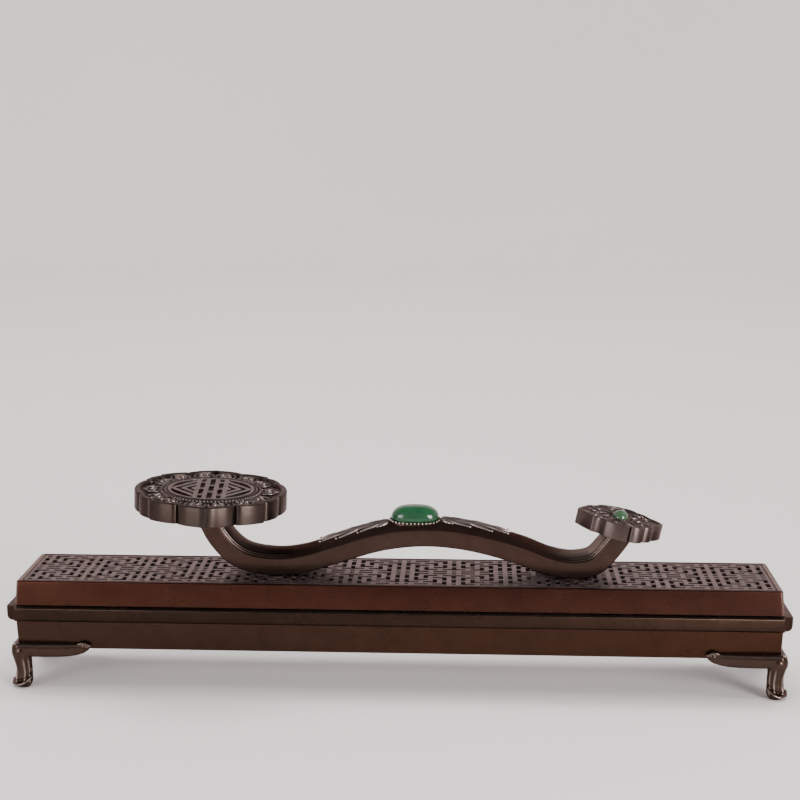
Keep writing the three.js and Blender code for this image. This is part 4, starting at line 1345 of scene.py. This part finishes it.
class BURNER_OT_stone(bpy.types.Operator):
    """Make the oval green stone and its beaded setting."""

    bl_idname = "burner.stone"
    bl_label = "Stone and setting"

    beads = 34
    # How square the stone's oval is: 1 would be a plain ellipse
    power = 0.78

    def execute(self, context):
        half_x = (STONE_HIGH.x - STONE_LOW.x) / 2
        half_y = (STONE_HIGH.y - STONE_LOW.y) / 2
        middle = Vector(((STONE_HIGH.x + STONE_LOW.x) / 2, 0, STONE_LOW.z))
        rise = STONE_HIGH.z - STONE_LOW.z
        make_piece("oval_cabochon", self.cabochon(half_x, half_y, middle, rise), "lid",
                   finish_for("green_stone"), "green_stone", "centre_stone")
        collar, beads = self.setting(half_x, half_y, middle)
        make_piece("stone_collar", collar, "lid", finish_for("sceptre_bronze"), "head_bronze", "centre_bezel")
        make_piece("stone_beads", beads, "lid", finish_for("pearl_bronze"), "head_bronze")
        return {"FINISHED"}

    def cabochon(self, half_x, half_y, middle, rise):
        """A domed oval, widest low down and flatter on top."""
        girdle = 0.36 * rise
        profile = [(0, 0.0), (0.8, 0.0), (0.86, 0.05 * rise)]
        for turn in range(-40, 0, 10):
            angle = math.radians(turn)
            profile.append((math.cos(angle) ** 0.4, girdle + 0.28 * rise * math.sin(angle)))
        for turn in range(0, 91, 5):
            angle = math.radians(turn)
            profile.append((math.cos(angle) ** 0.72 if turn < 90 else 0.0,
                            girdle + (rise - girdle) * math.sin(angle) ** 0.92))
        return turned(profile, 72, (half_x, half_y), middle, self.power)

    def setting(self, half_x, half_y, middle):
        """A low oval collar with a row of beads that lean out from under the stone."""
        collar = turned(
            [(0.85, -0.5), (1.03, -0.5), (1.03, 1.1), (1.01, 1.35), (0.96, 1.45), (0.85, 1.3), (0.85, -0.5)],
            72, (half_x, half_y), middle, self.power,
        )
        oval = []
        for step in range(360):
            turn = math.radians(step)
            x, y = squared(math.cos(turn), self.power), squared(math.sin(turn), self.power)
            oval.append(Vector((half_x * x, half_y * y)))
        beads = []
        for spot in evenly(oval, self.beads):
            outward = Vector((spot.x / half_x ** 2, spot.y / half_y ** 2, 0)).normalized()
            height = 0.95 + 0.4 * (spot.x / half_x) ** 4
            at = middle + Vector((spot.x, spot.y, height)) + 0.3 * outward
            beads.append(bead(at, 0.36, up=outward * 0.4 + Vector((0, 0, 1)), flat=1.9, sides=12, rows=8))
        return collar, joined(beads)


class BURNER_OT_sprays(bpy.types.Operator):
    """Make the sprays of pointed leaves on both sides of the stone."""

    bl_idname = "burner.sprays"
    bl_label = "Leaf sprays"

    # From beside the stone out to the tip, along X
    reaches = {"left": (-2.5, -25.6), "right": (14.2, 36.1)}
    leaf_steps = 15
    # A leaf's section: place across and height, and how rubbed each point is
    section = [(-1, -0.35), (-1, 0.5), (-0.8, 0.75), (-0.45, 0.35), (-0.12, 0.75), (0, 1), (0.12, 0.75),
               (0.45, 0.35), (0.8, 0.75), (1, 0.5), (1, -0.35)]
    wear_and_painted_light = [0, 0.15, 0.25, 0, 0, 0.12, 0, 0, 0.25, 0.15, 0]
    # Place along the spray, offset to the side, length, breadth and turn of each leaf
    leaves = [
        (0.0, 0.0, 7.0, 2.2, 0), (0.0, 1.8, 4.0, 1.4, 24), (0.05, 1.0, 8.2, 1.9, 19), (0.28, 0.0, 7.0, 1.9, 0),
        (0.22, 0.8, 6.5, 1.3, 9), (0.36, 0.9, 8.0, 1.7, 19), (0.54, 0.0, 6.4, 1.6, 0), (0.5, 0.6, 6.2, 1.2, 9),
        (0.66, 0.6, 6.4, 1.4, 15), (0.74, 0.0, 5.6, 1.1, 0),
    ]
    pearls = [(0.1, 3.5), (0.41, 3.9), (0.72, 3.7), (0.95, 2.5)]

    def execute(self, context):
        for side, (start, end) in self.reaches.items():
            leaves = []
            for place_along, offset, size, breadth, turn in self.leaves:
                mirrored = (1, -1) if offset else (1,)
                for sign in mirrored:
                    leaves.append(self.leaf(start, end, place_along, sign * offset, size, breadth, sign * turn))
            make_piece("leaves_" + side, joined(leaves), "lid", finish_for("relief_lit_bronze"), "head_bronze",
                       "leaf_spray_" + side, sharp=70, wear_and_painted_light=len(leaves) * self.leaf_steps * self.wear_and_painted_light)
            pearls = []
            for place_along, offset in self.pearls:
                for sign in (1, -1):
                    point, _, up = self.spot(start, end, place_along, sign * offset)
                    pearls.append(bead(point + up * 0.2, 0.42, sides=12, rows=8))
            make_piece("pearls_" + side, joined(pearls), "lid", finish_for("pearl_bronze"), "head_bronze")
        return {"FINISHED"}

    def spot(self, start, end, share, offset):
        """A point on the sceptre's crown, with the direction outwards along it and up."""
        middle, along, up = BAR.at(BAR.share_at(start + share * (end - start)))
        if end < start:
            along = -along
        point = middle + up * crown_height(offset) + Vector((0, offset, 0))
        return point, along, up

    def leaf(self, start, end, share, offset, size, breadth, turn):
        """A pointed leaf with a ridge down its middle and raised edges."""
        point, along, up = self.spot(start, end, share, offset)
        spin = Matrix.Rotation(math.radians(turn) * (1 if end > start else -1), 3, up)
        outward = spin @ along
        across = up.cross(outward)
        rings = []
        reach = abs(end - start)
        for step in range(self.leaf_steps):
            t = step / (self.leaf_steps - 1)
            here = offset + math.sin(math.radians(turn)) * size * t
            middle, _, normal = self.spot(start, end, min(1.0, share + math.cos(math.radians(turn)) * size * t / reach),
                                          max(-4.8, min(4.8, here)))
            half = 0.5 * breadth * (math.sin(math.pi * min(1.0, 0.12 + 0.88 * t)) ** 0.75 + 0.06)
            lift = 0.16 + 0.5 * math.sin(math.pi * (0.2 + 0.75 * t))
            rings.append([middle + across * (half * v) + normal * (lift * h) for v, h in self.section])
        return loft(rings)


class BURNER_OT_pad(bpy.types.Operator):
    """Make the soft pad that lies in the tray."""

    bl_idname = "burner.pad"
    bl_label = "Pad"

    columns = 224
    rows = 24

    def execute(self, context):
        half_x, half_y = PAD_HIGH.x, PAD_HIGH.y
        random.seed(7)
        rings = []
        thick = PAD_HIGH.z - PAD_LOW.z
        for share, inset in ((0.0, 0.5), (0.12, 0.15), (0.35, 0.0), (0.62, 0.0), (0.82, 0.2), (0.94, 0.55), (1.0, 1.2)):
            ring = []
            for point in rounded_rectangle(half_x - inset, half_y - inset, 2.2, PAD_LOW.z + share * thick, 8):
                wobble = 0.12 * math.sin(point.x * 0.31 + 1.7) * math.sin(point.y * 0.5 + 0.4)
                ring.append(point * 1.0 + Vector((0, math.copysign(wobble - 0.12, point.y) * share, 0)))
            rings.append(ring)
        piece = make_piece("felt_pad", loft(rings), "pad", finish_for("pad_felt"), "pad_felt", "ash_pad", sharp=60)
        return {"FINISHED"}


class BURNER_OT_fixings(bpy.types.Operator):
    """Finish the screws, washers and studs."""

    bl_idname = "burner.fixings"
    bl_label = "Fixings"

    def execute(self, context):
        for name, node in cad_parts.items():
            if not name.endswith(("_screw", "_stud")) and "handle_" not in name:
                continue
            weld = node.modifiers.new("Weld", "WELD")
            weld.merge_threshold = 0.00001
            bevelled(node, 0.12 * MM, 2, 30)
            node.data.materials.clear()
            node.data.materials.append(finish_for("screw_brass"))
        return {"FINISHED"}


class BURNER_OT_stage(bpy.types.Operator):
    """Make the pale floor with its round backdrop, the soft lights and the camera."""

    bl_idname = "burner.stage"
    bl_label = "Stage"

    # The camera's place in millimetres, its angles in degrees and its focal length for 36 mm
    camera_at = (22.7, -522.4, 192.6)
    camera_down = 10.575
    camera_left = 2.436
    camera_roll = 0.094
    camera_lens = 72.9
    # The cone that each soft box lights, in degrees
    box_spread = 70

    def execute(self, context):
        self.floor()
        self.lights()
        self.camera()
        return {"FINISHED"}

    def floor(self):
        """A flat disc that curves up all round into a backdrop."""
        flat, bend_sheen, high = 1250, 600, 2400
        profile = [(0, 0), (flat * 0.5, 0), (flat, 0)]
        for step in range(1, 13):
            turn = math.radians(7.5 * step)
            profile.append((flat + bend_sheen * math.sin(turn), bend_sheen * (1 - math.cos(turn))))
        profile.append((flat + bend_sheen, high))
        floor = link("floor", make_mesh("floor", turned(profile, 96)))
        colours = bpy.context.scene.burner_colours
        nodes = Nodes("pale_floor")
        mottle = nodes.span(nodes.noise(3, 4, 0.5), 0.3, 0.7)
        darker = tuple(0.97 * part for part in colours.floor)
        base = nodes.mix(mottle, rgba(colours.floor), rgba(darker))
        floor.data.materials.append(nodes.finish(Base_Color=base, Roughness=0.75, Specular_IOR_Level=0.2))

    def lights(self):
        """Two soft boxes in front, a wide one overhead, three that wash the backdrop, and a grey sky."""
        world = bpy.data.worlds.new("sky")
        world.use_nodes = True
        world.node_tree.nodes["Background"].inputs[0].default_value = (0.9, 0.9, 0.93, 1)
        world.node_tree.nodes["Background"].inputs[1].default_value = 0.3
        bpy.context.scene.world = world
        for name, spot, target, size, power in (
            ("left_box", (-590, -640, 240), (0, 0, 50), (0.42, 0.42), 0.72),
            ("right_box", (600, -630, 240), (0, 0, 50), (0.34, 0.42), 1.75),
            ("overhead", (0, 120, 1500), (0, 0, 40), (1.6, 1.2), 13.5),
            ("backdrop_wash", (0, 350, 1700), (0, 1500, 300), (2.4, 0.6), 16.5),
            ("left_wash", (-300, 200, 1700), (-1200, 700, 300), (1.6, 0.6), 8.5),
            ("right_wash", (300, 200, 1700), (1200, 700, 300), (1.6, 0.6), 8.5),
        ):
            data = bpy.data.lights.new(name, "AREA")
            data.shape = "RECTANGLE"
            data.size, data.size_y = size
            data.energy = power
            light = bpy.data.objects.new(name, data)
            bpy.context.scene.collection.objects.link(light)
            light.location = Vector(spot) * MM
            aim = Vector(target) * MM - light.location
            light.rotation_euler = aim.to_track_quat("-Z", "Y").to_euler()
            light.visible_glossy = name.endswith("_box")
            if name.endswith("_box"):
                data.spread = math.radians(self.box_spread)

    def camera(self):
        """The photograph's place and angle."""
        data = bpy.data.cameras.new("camera")
        data.sensor_width = 36
        data.lens = self.camera_lens
        data.clip_start = 0.01
        camera = bpy.data.objects.new("camera", data)
        bpy.context.scene.collection.objects.link(camera)
        down, left, roll = (math.radians(a) for a in (self.camera_down, self.camera_left, self.camera_roll))
        level = Matrix.Rotation(math.pi / 2 - down, 4, "X")
        turn = Matrix.Rotation(left, 4, "Z") @ level @ Matrix.Rotation(roll, 4, "Z")
        camera.matrix_world = Matrix.Translation(Vector(self.camera_at) * MM) @ turn
        bpy.context.scene.camera = camera


OPERATORS = (
    BURNER_OT_tray, BURNER_OT_feet, BURNER_OT_pad, BURNER_OT_lid, BURNER_OT_fret, BURNER_OT_sceptre,
    BURNER_OT_head, BURNER_OT_medallion, BURNER_OT_tail, BURNER_OT_stone, BURNER_OT_sprays,
    BURNER_OT_fixings, BURNER_OT_stage,
)


class BURNER_PT_panel(bpy.types.Panel):
    """Lists the pieces, the sizes and the colours."""

    bl_idname = "BURNER_PT_panel"
    bl_label = "Incense Burner"
    bl_space_type = "VIEW_3D"
    bl_region_type = "UI"
    bl_category = "Burner"

    def draw(self, context):
        layout = self.layout
        for operator in OPERATORS:
            layout.operator(operator.bl_idname)
        for group in (context.scene.burner_sizes, context.scene.burner_colours):
            box = layout.box()
            for name in group.__annotations__:
                box.prop(group, name)


CLASSES = (BurnerSizes, BurnerColours, *OPERATORS, BURNER_PT_panel)


def register():
    for made in CLASSES:
        bpy.utils.register_class(made)
    bpy.types.Scene.burner_sizes = bpy.props.PointerProperty(type=BurnerSizes)
    bpy.types.Scene.burner_colours = bpy.props.PointerProperty(type=BurnerColours)


def unregister():
    del bpy.types.Scene.burner_colours
    del bpy.types.Scene.burner_sizes
    for made in reversed(CLASSES):
        bpy.utils.unregister_class(made)


def main():
    """Makes every piece in order."""
    register()
    for operator in OPERATORS:
        group, name = operator.bl_idname.split(".")
        getattr(getattr(bpy.ops, group), name)()
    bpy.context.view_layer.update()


if __name__ == "__main__":
    main()
